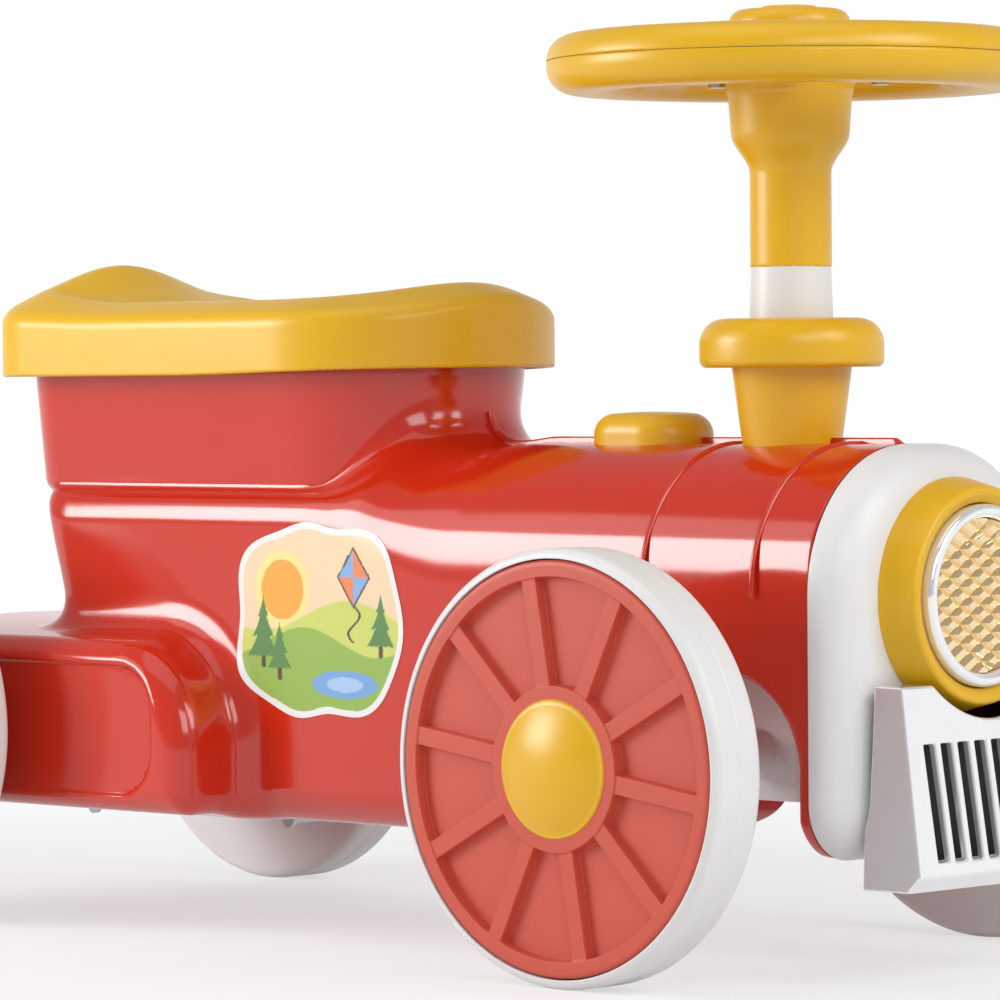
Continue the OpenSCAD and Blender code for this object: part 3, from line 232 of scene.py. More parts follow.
def body_field(x, y, z):
    """The moulded body with its bosses, front arch, side panels and the mouth under the seat."""
    body = body_skin(x, y, z)
    for boss_x in BOSS_XS:
        boss = corner(np.hypot(x - boss_x, z - BOSS_Z) - BOSS_R, np.abs(y) - BOSS_W, BOSS_EDGE)
        body = blend(body, boss, BOSS_FILLET)
    arch = corner(np.abs(x) - ARCH_W, z - ARCH_TOP, ARCH_R)
    flare = np.where(x < 0, ARCH_REAR_FLARE, ARCH_FRONT_FLARE)
    body = -blend(-body, -corner(-arch, BOILER_BOTTOM - z, flare), ARCH_EDGE)
    recess = np.maximum(side_panel_field(x, z), BLOCK_W - PANEL_DEPTH - np.abs(y))
    body = carve(body, recess, PANEL_EDGE)
    mouth_rear = np.where(z < WAIST_Z, base_rear(z), rear_wall(z - WALL_LEAD)) - BOX_WALL
    mouth = d_plan(x, y, box_half_w(z) - BOX_WALL, mouth_rear, BOX_CORNER - BOX_WALL)
    return carve(body, np.maximum(mouth, MOUTH_FLOOR - z), MOUTH_EDGE)


# Meshes of fields
SLOPE_REACH = 0.05
SNAP_ROUNDS, SNAP_REACH, LEAST_SLOPE = 4, 0.6, 0.05
CUT_REACH, EDGE_TIP = 1e-3, 0.8
LEAST_LENGTH = 1e-9
EDGE_ROUNDS = 30
CELL_CORNERS = [(i, j, k) for i in (0, 1) for j in (0, 1) for k in (0, 1)]


def unit(vectors):
    return vectors / np.maximum(np.linalg.norm(vectors, axis=1, keepdims=True), LEAST_LENGTH)


def gradient(field, p):
    """Slope of a field at points, by central differences."""
    out = np.empty_like(p)
    for k in range(3):
        step = np.zeros(3)
        step[k] = SLOPE_REACH
        a, b = p + step, p - step
        out[:, k] = (field(*a.T) - field(*b.T)) / (2 * SLOPE_REACH)
    return out


def find_edge(field, inner, outer):
    """Places between inner and outer ones where a field of one coordinate turns from inside to outside."""
    for _ in range(EDGE_ROUNDS):
        middle = (inner + outer) / 2
        inside = field(middle) < 0
        inner, outer = np.where(inside, middle, inner), np.where(inside, outer, middle)
    return outer


def crossing_means(d, cells):
    """Mean place in each cell, as shares of the cell, where values on its edges change sign."""
    at = {o: d[tuple((cells + o).T)] for o in CELL_CORNERS}
    total = np.zeros((len(cells), 3))
    hits = np.zeros(len(cells))
    for o in CELL_CORNERS:
        for k in range(3):
            if o[k]:
                continue
            end = tuple(v + (m == k) for m, v in enumerate(o))
            a, b = at[o], at[end]
            cross = (a < 0) != (b < 0)
            point = np.tile(np.array(o, float), (len(cells), 1))
            point[:, k] += np.where(cross, a / np.where(cross, a - b, 1), 0)
            total += point * cross[:, None]
            hits += cross
    return total / hits[:, None]


def net_quads(inside, ids):
    """Quads, facing outward, round the grid edges that pass through the surface."""
    n = ids.shape
    quads = []
    for k in range(3):
        u, v = (k + 1) % 3, (k + 2) % 3
        lead = [slice(None)] * 3
        lead[k] = slice(1, None)
        back = [slice(None)] * 3
        back[k] = slice(None, -1)
        edge = np.argwhere(inside[tuple(lead)] != inside[tuple(back)])
        edge = edge[(edge[:, u] > 0) & (edge[:, u] < n[u]) & (edge[:, v] > 0) & (edge[:, v] < n[v])]
        ring = []
        for du, dv in ((1, 1), (0, 1), (0, 0), (1, 0)):
            c = edge.copy()
            c[:, u] -= du
            c[:, v] -= dv
            ring.append(ids[tuple(c.T)])
        ring = np.stack(ring, 1)
        outward = inside[tuple(edge.T)]
        quads.append(np.where(outward[:, None], ring, ring[:, ::-1]))
    return np.concatenate(quads)


def surface_net(field, low, high, step):
    """Vertices and quads of a field's zero surface inside a box, on a grid of that step."""
    axes = [np.arange(a, b + step, step) for a, b in zip(low, high)]
    d = field(*np.meshgrid(*axes, indexing="ij", sparse=True))
    inside = d < 0
    n = tuple(np.array(d.shape) - 1)
    count = np.zeros(n, np.int8)
    for i, j, k in CELL_CORNERS:
        count += inside[i : n[0] + i, j : n[1] + j, k : n[2] + k]
    cells = np.argwhere((count > 0) & (count < len(CELL_CORNERS)))
    ids = np.full(n, -1, np.int64)
    ids[tuple(cells.T)] = np.arange(len(cells))
    p = np.array(low) + (cells + crossing_means(d, cells)) * step
    for _ in range(SNAP_ROUNDS):
        g = gradient(field, p)
        move = -field(*p.T)[:, None] * g / np.maximum((g * g).sum(1, keepdims=True), LEAST_SLOPE)
        p = p + np.clip(move, -SNAP_REACH * step, SNAP_REACH * step)
    return p, net_quads(inside, ids)


def cut_mesh(points, faces, *planes):
    """Points and faces left on the inner side of planes given as (place, outward normal)."""
    work = bmesh.new()
    verts = [work.verts.new(p) for p in points]
    for face in faces:
        work.faces.new([verts[i] for i in face])
    for place, outward in planes:
        everything = work.verts[:] + work.edges[:] + work.faces[:]
        bmesh.ops.bisect_plane(work, geom=everything, plane_co=place, plane_no=outward, clear_outer=True)
    work.verts.index_update()
    kept = np.array([v.co for v in work.verts])
    rings = [[v.index for v in face.verts] for face in work.faces]
    work.free()
    return kept, rings


def edge_normals(field, points, *planes):
    """Normals of a field's surface, tipped outward along the cuts so that the edges look broken."""
    normals = unit(gradient(field, points))
    for place, outward in planes:
        on_cut = np.abs((points - np.array(place)) @ np.array(outward)) < CUT_REACH
        normals[on_cut] += EDGE_TIP * np.array(outward)
    return unit(normals)


# Meshes of profiles and rows
ARC_STEPS = 8


def rounded(points, steps=ARC_STEPS):
    """Outline through (a, b, radius) corners, each rounded to its radius; the ends stay as they are."""
    out = []
    for i, (a, b, r) in enumerate(points):
        p = np.array([a, b], float)
        if r <= 0 or i in (0, len(points) - 1):
            out.append(p)
            continue
        before, after = (np.array(points[j][:2], float) - p for j in (i - 1, i + 1))
        before, after = before / np.linalg.norm(before), after / np.linalg.norm(after)
        half = math.acos(float(np.clip(before @ after, -1, 1))) / 2
        reach = r / math.tan(half)
        middle = p + (before + after) / np.linalg.norm(before + after) * r / math.sin(half)
        start, stop = p + before * reach - middle, p + after * reach - middle
        turn = math.atan2(start[0] * stop[1] - start[1] * stop[0], float(start @ stop))
        for t in np.linspace(0, turn, steps + 1):
            c, s = math.cos(t), math.sin(t)
            out.append(middle + np.array([start[0] * c - start[1] * s, start[0] * s + start[1] * c]))
    return np.array(out)


def lathe_points(profile, segments):
    """Points and faces of a profile of (radius, height) turned about Z."""
    turns = np.linspace(0, 2 * math.pi, segments, endpoint=False)
    r, h = np.asarray(profile).T
    points = np.stack(
        [np.outer(np.cos(turns), r), np.outer(np.sin(turns), r), np.tile(h, (segments, 1))], -1
    ).reshape(-1, 3)
    m = len(r)
    faces = []
    for i in range(segments):
        j = (i + 1) % segments
        for k in range(m - 1):
            faces.append((i * m + k, j * m + k, j * m + k + 1, i * m + k + 1))
    return points, faces


def grid_faces(rows, columns, closed):
    """Faces between rows of points, each row closed to a ring or open."""
    faces = []
    last = columns if closed else columns - 1
    for i in range(rows - 1):
        for j in range(last):
            k = (j + 1) % columns
            faces.append((i * columns + j, i * columns + k, (i + 1) * columns + k, (i + 1) * columns + j))
    return faces


# Objects
def to_row(p, at_column):
    """Points in millimetres as metres in the row frame."""
    shift = np.array([COLUMN_X if at_column else 0.0, 0.0, 0.0])
    return (np.asarray(p, float) + shift) * MM


def make_mesh(name, points, faces, normals=None, at_column=True):
    """A smooth mesh in the row frame from points in millimetres."""
    mesh = bpy.data.meshes.new(name)
    mesh.from_pydata(to_row(points, at_column).tolist(), [], [list(map(int, f)) for f in faces])
    mesh.shade_smooth()
    if normals is not None:
        mesh.normals_split_custom_set_from_vertices(np.asarray(normals, float).tolist())
    return mesh


def add_object(name, data, matrix=None):
    """A new object in the scene from a mesh, a lamp or a camera."""
    obj = bpy.data.objects.new(name, data)
    bpy.context.scene.collection.objects.link(obj)
    if matrix is not None:
        obj.matrix_world = matrix
    return obj


def add_mesh(name, points, faces, normals=None):
    """A new object at the column from points in millimetres."""
    return add_object(name, make_mesh(name, points, faces, normals))


def mark_sharp(mesh, degrees):
    """Keeps edges that turn by more than an angle crisp."""
    mesh.set_sharp_from_angle(angle=math.radians(degrees))


def field_piece(name, field, low, high, step):
    """A new object with the surface of a field inside a box."""
    points, quads = surface_net(field, low, high, step)
    return add_mesh(name, points, quads, unit(gradient(field, points)))


def dress(obj, body, slot, *nodes, material=None):
    """Puts a piece on its body with its material and the CAD nodes that it stands for."""
    obj.data.materials.clear()
    obj.data.materials.append(material or MATERIALS[slot])
    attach(obj, body)
    if nodes:
        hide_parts(*nodes)


# Materials, named after their slots
GRAIN_SCALE, GRAIN_DETAIL, GRAIN_DEPTH = 60.0, 3.0, 0.002
DARK_TONE = 0.94
LOOKS = {
    "red_plastic": dict(colour=(206, 44, 18), roughness=0.13, ior=1.65),
    # cover_plastic's colour is a red lightened toward salmon, partly painted sheen of the side softboxes
    # on top of the plastic's own red
    "cover_plastic": dict(colour=(208, 84, 64), roughness=0.42),
    "yellow_plastic": dict(colour=(232, 180, 10), roughness=0.33, ior=1.55),
    "horn_plastic": dict(colour=(240, 186, 34), roughness=0.34),
    "white_plastic": dict(colour=(232, 232, 232), roughness=0.35),
    "drum_plastic": dict(colour=(232, 232, 232), roughness=0.38),
    "chrome_plating": dict(colour=(246, 246, 248), roughness=0.08, metallic=0.6, grain=0.01),
    "dark_plastic": dict(colour=(22, 22, 25), roughness=0.5),
    "steel": dict(colour=(190, 194, 200), roughness=0.3, metallic=1.0),
    "squeaker_rubber": dict(colour=(190, 150, 50), roughness=0.6),
    "lens_plastic": dict(colour=(252, 226, 178), roughness=0.04, ior=2.1, metallic=0.85),
    "lamp_glow": dict(colour=(255, 246, 220), roughness=0.3),
}


def srgb(r, g, b):
    """Linear colour of 8-bit screen values."""
    def one(v):
        v /= 255
        return v / 12.92 if v <= 0.04045 else ((v + 0.055) / 1.055) ** 2.4
    return (one(r), one(g), one(b), 1.0)


def plastic(name, colour, roughness, grain=0.02, ior=1.49, metallic=0.0):
    """Moulded plastic: a plain colour with slight unevenness in tone and surface."""
    material = bpy.data.materials.new(name)
    material.use_nodes = True
    nodes, links = material.node_tree.nodes, material.node_tree.links
    shader = nodes["Principled BSDF"]
    shader.inputs["Roughness"].default_value = roughness
    shader.inputs["Metallic"].default_value = metallic
    shader.inputs["IOR"].default_value = ior
    place = nodes.new("ShaderNodeTexCoord")
    noise = nodes.new("ShaderNodeTexNoise")
    noise.inputs["Scale"].default_value = GRAIN_SCALE
    noise.inputs["Detail"].default_value = GRAIN_DETAIL
    links.new(place.outputs["Object"], noise.inputs["Vector"])
    light = srgb(*colour)
    tone = nodes.new("ShaderNodeMixRGB")
    tone.inputs["Color1"].default_value = light
    tone.inputs["Color2"].default_value = tuple(DARK_TONE * c for c in light[:3]) + (1.0,)
    links.new(noise.outputs["Fac"], tone.inputs["Fac"])
    links.new(tone.outputs["Color"], shader.inputs["Base Color"])
    bump = nodes.new("ShaderNodeBump")
    bump.inputs["Strength"].default_value = grain
    bump.inputs["Distance"].default_value = GRAIN_DEPTH
    links.new(noise.outputs["Fac"], bump.inputs["Height"])
    links.new(bump.outputs["Normal"], shader.inputs["Normal"])
    return material


MATERIALS = {name: plastic(name, **look) for name, look in LOOKS.items()}
NODE_SLOTS = {s["node"]: s["material_slot"] for s in frame["record"]["subparts"]}
for node, obj in frame["nodes"].items():
    obj.data.materials.clear()
    obj.data.materials.append(MATERIALS[NODE_SLOTS[node]])

# Broken edges of CAD nodes that show as they are
WELD_REACH = 0.01
BEVEL_SEGMENTS, BEVEL_FROM = 3, 35


def soften(node, width, clamp=True):
    """Breaks the edges of a CAD node by a small bevel."""
    modifiers = frame["nodes"][node].modifiers
    modifiers.new("joined_corners", "WELD").merge_threshold = WELD_REACH * MM
    bevel = modifiers.new("broken_edges", "BEVEL")
    bevel.width = width * MM
    bevel.segments = BEVEL_SEGMENTS
    bevel.limit_method = "ANGLE"
    bevel.angle_limit = math.radians(BEVEL_FROM)
    bevel.use_clamp_overlap = clamp
    bevel.harden_normals = True


soften("grille", 1.0, clamp=False)
soften("storage_bin", 0.8)
soften("axle_carrier", 1.2)


# Body halves, meshed on one side and mirrored to the other
def build_body():
    # A grid plane lies on the seam, so that the net's vertices don't
    low = (-BLOCK_REAR - NET_MARGIN, -2 * BODY_STEP, BOSS_Z - BOSS_R - NET_MARGIN)
    high = (BOILER_FRONT + NET_MARGIN, BLOCK_W + NET_MARGIN, BOX_RIM + NET_MARGIN)
    points, quads = surface_net(body_field, low, high, BODY_STEP)
    rim = ((BOILER_FRONT, 0.0, 0.0), (1.0, 0.0, 0.0))
    seam = ((0.0, 0.0, 0.0), (0.0, -1.0, 0.0))
    points, quads = cut_mesh(points, quads, rim, seam)
    normals = edge_normals(body_field, points, rim)
    flip = np.array([1.0, -1.0, 1.0])
    mirrored = [face[::-1] for face in quads]
    halves = {"left": (points, quads, normals), "right": (points * flip, mirrored, normals * flip)}
    for side, half in halves.items():
        dress(add_mesh(f"body_{side}_skin", *half), "chassis", "red_plastic", f"body_{side}")


# Wheels, each in its own frame with the outside towards +Z, then set on the axles
COVER_R = WHEEL_R - 4.0
COVER_RIM = 7.0
COVER_SINK = 4.5
COVER_GAP, COVER_EDGE, COVER_SKIRT = 0.5, 1.7, 8.0
COVER_FLAT = COVER_R - COVER_GAP - COVER_EDGE
HUB_RING_R = 32.8
HUB_CAP_R = 27.7
HUB_CAP_RISE = 7.0
HUB_CAP_LAP = 2.0  # how far the cover runs under the cap
HUB_EDGE_IN, HUB_EDGE_UP, HUB_SKIRT = 0.6, 0.8, 3.0
DOME_START, DOME_SHARE, DOME_POINTS = 1e-4, 0.94, 24
SPOKES = 10
SPOKE_W = 7.0
SPOKE_TURN = math.radians(-8)
SPOKE_STEP, SPOKE_EDGE = 0.6, 1.0
SPOKE_LINE = 1.5
EDGE_RUN = 0.9  # width of the slope where the cover's face steps
EDGE_LINES = EDGE_RUN * np.linspace(-0.3, 1.3, 13)
RING_LINES, FIELD_LINES, SECTOR_LINES = 4, 12, 6
HUB_LINE_GAP, FIELD_LINE_GAP, RIM_LINE_GAP = 0.8, 3.0, 1.2
DRUM_BORE_R, DRUM_RECESS, DRUM_ARC_STEPS = 6.0, 10.0, 6
DRUM_INNER_EDGE, DRUM_OUTER_EDGE, DRUM_LIP = 5.0, 4.0, 0.8
TREAD_SEAM_RUN, TREAD_SEAM_W, TREAD_SEAM_DEPTH = 1.2, 0.5, 0.25
WHEEL_CREASE = 50


def wheel_matrix(back, side):
    """Place of a wheel: back from the column, on side +1 or -1."""
    place = Vector(((COLUMN_X - back) * MM, side * (WHEEL_FACE - WHEEL_W) * MM, AXLE_Z * MM))
    return Matrix.Translation(place) @ Matrix.Rotation(-side * math.pi / 2, 4, "X")


def cover_height(r, across):
    """Rise of the wheel cover's face: sunken fields between the spokes."""
    ring = np.maximum(r - (COVER_R - COVER_RIM), HUB_RING_R - r)
    field = corner(ring, SPOKE_W / 2 - across, SPOKE_EDGE)
    spoke = -SPOKE_STEP * ease(-ring / EDGE_RUN)
    return spoke - (COVER_SINK - SPOKE_STEP) * ease(-field / EDGE_RUN)


def cover_radii():
    """Radii of a cover's rings, close together where its face steps."""
    inner, outer = HUB_RING_R, COVER_R - COVER_RIM
    return np.concatenate([
        np.linspace(HUB_CAP_R - HUB_CAP_LAP, inner - HUB_LINE_GAP, RING_LINES),
        inner + EDGE_LINES,
        np.linspace(inner + FIELD_LINE_GAP, outer - FIELD_LINE_GAP, FIELD_LINES),
        (outer - EDGE_LINES)[::-1],
        np.linspace(outer + RIM_LINE_GAP, COVER_FLAT, RING_LINES),
    ])


def cover_mesh():
    """Points and faces of a cover, with its lines laid along the spokes' edges and the rings."""
    radii = cover_radii()
    edges = np.concatenate([[0.0, SPOKE_LINE], SPOKE_W / 2 + EDGE_LINES])
    shares = np.linspace(0, 1, SECTOR_LINES + 1)[1:]
    pitch = 2 * math.pi / SPOKES
    columns = []
    for r in radii:
        flat = np.arcsin(edges / r)
        last = flat[-1]
        columns.append(np.concatenate([flat, last + (pitch / 2 - last) * shares]))
    half = np.stack(columns)
    sector = np.concatenate([-half[:, :0:-1], half[:, :-1]], 1)
    turns = np.concatenate([sector + SPOKE_TURN + i * pitch for i in range(SPOKES)], 1)
    width = turns.shape[1]
    across = np.tile(np.abs(radii[:, None] * np.sin(sector)), (1, SPOKES))
    r = np.tile(radii[:, None], (1, width))
    z = WHEEL_W + cover_height(r, across)
    angles = np.radians([30, 60, 90])
    edge_r = np.append(COVER_FLAT + COVER_EDGE * np.sin(angles), COVER_R - COVER_GAP)
    edge_z = np.append(WHEEL_W - COVER_EDGE * (1 - np.cos(angles)), WHEEL_W - COVER_SKIRT)
    r = np.concatenate([r, np.tile(edge_r[:, None], (1, width))])
    z = np.concatenate([z, np.tile(edge_z[:, None], (1, width))])
    turns = np.concatenate([turns, np.tile(turns[-1], (len(edge_r), 1))])
    points = np.stack([r * np.cos(turns), r * np.sin(turns), z], -1).reshape(-1, 3)
    return points, [face[::-1] for face in grid_faces(len(r), width, True)]


def drum_profile():
    """Half section of a drum: tread with a fine seam, and the recess that the cover sits in."""
    middle = WHEEL_W / 2
    seam = [(WHEEL_R, middle - TREAD_SEAM_RUN, 0), (WHEEL_R, middle - TREAD_SEAM_W, 0),
            (WHEEL_R - TREAD_SEAM_DEPTH, middle, 0),
            (WHEEL_R, middle + TREAD_SEAM_W, 0), (WHEEL_R, middle + TREAD_SEAM_RUN, 0)]
    return rounded([
        (DRUM_BORE_R, 0, 0), (WHEEL_R, 0, DRUM_INNER_EDGE), *seam, (WHEEL_R, WHEEL_W, DRUM_OUTER_EDGE),
        (COVER_R, WHEEL_W, DRUM_LIP), (COVER_R, WHEEL_W - DRUM_RECESS, 0),
    ], DRUM_ARC_STEPS)


def hub_cap_profile():
    """Half section of a hub cap: part of a ball with a short rim."""
    ball = (HUB_CAP_R**2 + HUB_CAP_RISE**2) / (2 * HUB_CAP_RISE)
    span = math.asin(HUB_CAP_R / ball)
    dome = [(ball * math.sin(a), WHEEL_W + HUB_CAP_RISE - ball * (1 - math.cos(a)))
            for a in np.linspace(DOME_START, span * DOME_SHARE, DOME_POINTS)]
    rim = [(HUB_CAP_R - HUB_EDGE_IN, WHEEL_W + HUB_EDGE_UP),
           (HUB_CAP_R, WHEEL_W), (HUB_CAP_R, WHEEL_W - HUB_SKIRT)]
    return np.array(dome + rim)[::-1]


def build_wheels():
    shapes = {
        "drum": (lathe_points(drum_profile(), TURN_SEGMENTS), "drum_plastic"),
        "cover": (cover_mesh(), "cover_plastic"),
        "hub_cap": (lathe_points(hub_cap_profile(), TURN_SEGMENTS), "yellow_plastic"),
    }
    for part, ((points, faces), slot) in shapes.items():
        mesh = make_mesh(part, points, faces, at_column=False)
        mark_sharp(mesh, WHEEL_CREASE)
        for end, back in (("front", 0.0), ("rear", WHEELBASE)):
            for name, side in (("left", 1), ("right", -1)):
                obj = add_object(f"{end}_{name}_{part}_skin", mesh, wheel_matrix(back, side))
                dress(obj, f"{end}_{name}_wheel", slot, f"{end}_{name}_{part}")


# Seat lid
SEAT_W = 76.0
SEAT_REAR = BOX_REAR + SEAT_W - BOX_W
SEAT_FRONT = BOX_FRONT - (SEAT_W - BOX_W)
SEAT_CORNER = 34.0
SEAT_CREST = 278.0
SEAT_EDGE = 6.0
SEAT_DIP = 6.0
SEAT_WALL, SEAT_FOOT_EDGE = 3.5, 1.2
HOLLOW_RISE, HOLLOW_EDGE = 2.8, 1.0
TOP_SCALE = 0.95  # keeps the field's slope near 1 on the dished top
FRONT_LIFT, LIFT_LEAD = 2.5, 60.0
SLOPE, SLOPE_RUN = 8.0, 26.0
DIP_RUN = 40.0
BACKREST_RISE, BACK_L, BACK_PEAK, BACK_FALL = 19.0, 68.0, 12.0, 2.6
POMMEL_RISE, POMMEL_L, POMMEL_FALL = 6.8, 66.0, 3.0
SEAT_HEADROOM = 4.0


def seat_height(x, y, inset):
    """Height of the seat's top, from the place and the distance in from its edge."""
    along = x + SEAT_REAR
    length = SEAT_REAR - SEAT_FRONT - SLOPE_RUN
    across = y / SEAT_W
    back_run = np.maximum(along - BACK_PEAK, 0) / BACK_L
    back = BACKREST_RISE * ease(1 - back_run) * np.exp(-BACK_FALL * across**2)
    pommel = POMMEL_RISE * ease((along + POMMEL_L - length) / POMMEL_L) * np.exp(-POMMEL_FALL * across**2)
    slope = SLOPE * (1 - ease(inset / SLOPE_RUN))
    return SEAT_CREST - slope - SEAT_DIP * ease((inset - SEAT_EDGE) / DIP_RUN) + back + pommel


def seat_field(x, y, z):
    """The seat lid: a dished top over a skirt, hollow from below."""
    plan = d_plan(x, y, SEAT_W, SEAT_REAR, SEAT_CORNER)
    lid = corner(plan, (z - seat_height(x, y, np.maximum(-plan, 0))) * TOP_SCALE, SEAT_EDGE)
    skirt = SKIRT_Z + FRONT_LIFT * ease((x + BOX_CENTRE + LIFT_LEAD) / (SEAT_W + LIFT_LEAD))
    lid = corner(lid, skirt - z, SEAT_FOOT_EDGE)
    hollow = np.maximum(plan + SEAT_WALL, z - (BOX_RIM + HOLLOW_RISE))
    return carve(lid, hollow, HOLLOW_EDGE)


def build_seat():
    low = (-SEAT_REAR - NET_MARGIN, -SEAT_W - NET_MARGIN, SKIRT_Z - NET_MARGIN)
    high = (-SEAT_FRONT + NET_MARGIN, SEAT_W + NET_MARGIN, SEAT_CREST + BACKREST_RISE + SEAT_HEADROOM)
    dress(field_piece("seat_skin", seat_field, low, high, SEAT_STEP), "seat_lid", "yellow_plastic", "seat")


# Steering wheel
HELM_Z = 370.4
HELM_R = 100.0
HELM_SEAM = 0.1
HELM_MARGIN, HELM_HEADROOM = 2.0, 4.0
RIM_W, RIM_H, RIM_EDGE, RIM_DROP = 29.0, 24.2, 10.8, 1.21
ARMS, FIRST_ARM = 3, math.pi / 3
ARM_W, ARM_H, ARM_EDGE = 30.0, 16.0, 5.0
SLEEVE_Z, SLEEVE_EDGE = 285.0, 1.0
FLARE_R, FLARE_START, FLARE_RUN = 24.3, 39.0, 16.0
HUB_TAPER, TAPER_START, TAPER_RUN = 1.7, 54.0, 23.0
HUB_SCALE = 0.9  # keeps the field's slope near 1 on the flare
PAD_R, PAD_TOP, PAD_EDGE, PAD_DEPTH = 25.0, 391.0, 6.0, 12.0
ARM_FILLET, HUB_FILLET, PAD_FILLET = 5.0, 4.0, 3.0
HORN_R, HORN_RISE, HORN_EDGE, HORN_DEPTH = 11.5, 1.4, 1.2, 6.0
HORN_GAP, HORN_SEAT, HORN_SEAT_EDGE = 0.5, 4.0, 0.8
HORN_ARC_STEPS = 5


def helm_field(x, y, z):
    """The whole steering wheel: rim, arms, flared sleeve and pad, with a seat for the horn button."""
    r = np.hypot(x, y)
    rim_middle = HELM_R - RIM_W / 2
    rim_height = np.abs(z - (HELM_Z - RIM_DROP)) - RIM_H / 2
    rim = corner(np.abs(r - rim_middle) - RIM_W / 2, rim_height, RIM_EDGE)
    turn = 2 * math.pi / ARMS
    angle = (np.arctan2(y, x) - FIRST_ARM + turn / 2) % turn - turn / 2
    along, across = r * np.cos(angle), r * np.sin(angle)
    arm = corner(np.abs(across) - ARM_W / 2, np.abs(z - HELM_Z) - ARM_H / 2, ARM_EDGE)
    arm = np.maximum(arm, along - rim_middle)
    hub_r = mix(COLUMN_R, FLARE_R, ease((z - SLEEVE_Z - FLARE_START) / FLARE_RUN))
    hub_r = hub_r + HUB_TAPER * clamp01((z - SLEEVE_Z - TAPER_START) / TAPER_RUN)
    hub = np.maximum(corner((r - hub_r) * HUB_SCALE, SLEEVE_Z - z, SLEEVE_EDGE), z - HELM_Z)
    pad = np.maximum(corner(r - PAD_R, z - PAD_TOP, PAD_EDGE), HELM_Z - PAD_DEPTH - z)
    wheel = blend(blend(rim, arm, ARM_FILLET), hub, HUB_FILLET)
    wheel = blend(wheel, pad, PAD_FILLET)
    seat = np.maximum(r - HORN_R - HORN_GAP, PAD_TOP - HORN_SEAT - z)
    return carve(wheel, seat, HORN_SEAT_EDGE)


def build_helm():
    edge = HELM_R + HELM_MARGIN
    low, high = (-edge, -edge, SLEEVE_Z - HELM_HEADROOM), (edge, edge, PAD_TOP + HELM_HEADROOM)
    whole, quads = surface_net(helm_field, low, high, HELM_STEP)
    for name, side in (("base", 1.0), ("top", -1.0)):
        plane = ((0.0, 0.0, HELM_Z - HELM_SEAM * side), (0.0, 0.0, side))
        points, faces = cut_mesh(whole, quads, plane)
        normals = edge_normals(helm_field, points, plane)
        obj = add_mesh(f"steering_wheel_{name}_skin", points, faces, normals)
        dress(obj, "steering", "yellow_plastic", f"steering_wheel_{name}")


# Chimney, column and horn button
CAP_R, CAP_BOTTOM, CAP_TOP = 38.0, 244.2, 264.4
CAP_FOOT_EDGE, CAP_CROWN_R = 3.0, 10.5
CAP_SEAT_R = 24.0
CAP_BORE_R, CAP_BORE_EDGE, CAP_BORE_DEPTH = COLUMN_R + 0.8, 1.2, 6.0
CHIMNEY_ROOT_R, CHIMNEY_FOOT_R, CHIMNEY_HEAD_R = 19.8, 20.5, 24.85
CHIMNEY_ROOT_Z, CHIMNEY_LAP = 206.0, 1.0
COLUMN_FOOT, COLUMN_TAPER, COLUMN_LAP = 100.0, 0.4, 2.0
AXIS_R = 0.01
LATHE_CREASE = 40


def lathe_piece(name, profile, body, slot, *nodes, axis=None):
    """A turned piece, about the column or about an axis of its own."""
    points, faces = lathe_points(profile, TURN_SEGMENTS)
    mesh = make_mesh(name, points, faces, at_column=axis is None)
    mark_sharp(mesh, LATHE_CREASE)
    dress(add_object(name, mesh, axis), body, slot, *nodes)


def build_column():
    column = [(COLUMN_R + COLUMN_TAPER, COLUMN_FOOT), (COLUMN_R + COLUMN_TAPER, CAP_TOP),
              (COLUMN_R - COLUMN_TAPER, SLEEVE_Z + COLUMN_LAP)]
    lathe_piece("column_skin", column, "steering", "white_plastic", "steering_column")
    chimney = [(CHIMNEY_ROOT_R, CHIMNEY_ROOT_Z), (CHIMNEY_FOOT_R, BOILER_TOP),
               (CHIMNEY_HEAD_R, CAP_BOTTOM + CHIMNEY_LAP)]
    lathe_piece("chimney_skin", chimney, "chassis", "yellow_plastic", "chimney")
    cap = rounded([
        (CAP_SEAT_R, CAP_BOTTOM, 0), (CAP_R, CAP_BOTTOM, CAP_FOOT_EDGE), (CAP_R, CAP_TOP, CAP_CROWN_R),
        (CAP_BORE_R, CAP_TOP, CAP_BORE_EDGE), (CAP_BORE_R, CAP_TOP - CAP_BORE_DEPTH, 0),
    ])
    lathe_piece("chimney_cap_skin", cap, "chassis", "yellow_plastic", "chimney_cap")
    horn_top = PAD_TOP + HORN_RISE
    horn = rounded([
        (HORN_R, PAD_TOP - HORN_DEPTH, 0), (HORN_R, horn_top, HORN_EDGE), (AXIS_R, horn_top, 0),
    ], HORN_ARC_STEPS)
    lathe_piece("horn_button_skin", horn, "horn", "horn_plastic", "horn_button")


# Front panel and headlight
FRONT_L = 18.5
FRONT_GAP, FRONT_SINK, FRONT_REBATE = 0.6, 3.0, 4.0
FRONT_LIP, FRONT_LIP_INSET = 0.1, 1.0
DOME_INSET, DOME_RINGS = 20.5, 28
FACE_INSETS = (30, 44, 58)
FRONT_CREASE = 50
OUTLINE_POINTS, LEAST_R = 160, 0.5
LAMP_Z = 152.7
LAMP_R, LAMP_FRONT_R, LAMP_L = 47.4, 42.4, 16.5
LAMP_BORE_R, LAMP_SINK = 30.8, 5.0
LAMP_ROOT_IN, LAMP_ROOT = 1.0, 4.0
LAMP_FOOT, LAMP_FOOT_R = 0.5, 3.0
LAMP_LIP_OUT, LAMP_LIP_R = 1.0, 2.2
LAMP_LIP_IN, LAMP_LIP_DROP, LAMP_LIP_INNER_R = 2.0, 0.4, 1.5
LAMP_MOUTH_DROP, LAMP_MOUTH_R = 2.5, 1.0
BEZEL_R, BEZEL_W, BEZEL_L, BEZEL_EDGE = 36.6, 5.4, 9.0, 2.6
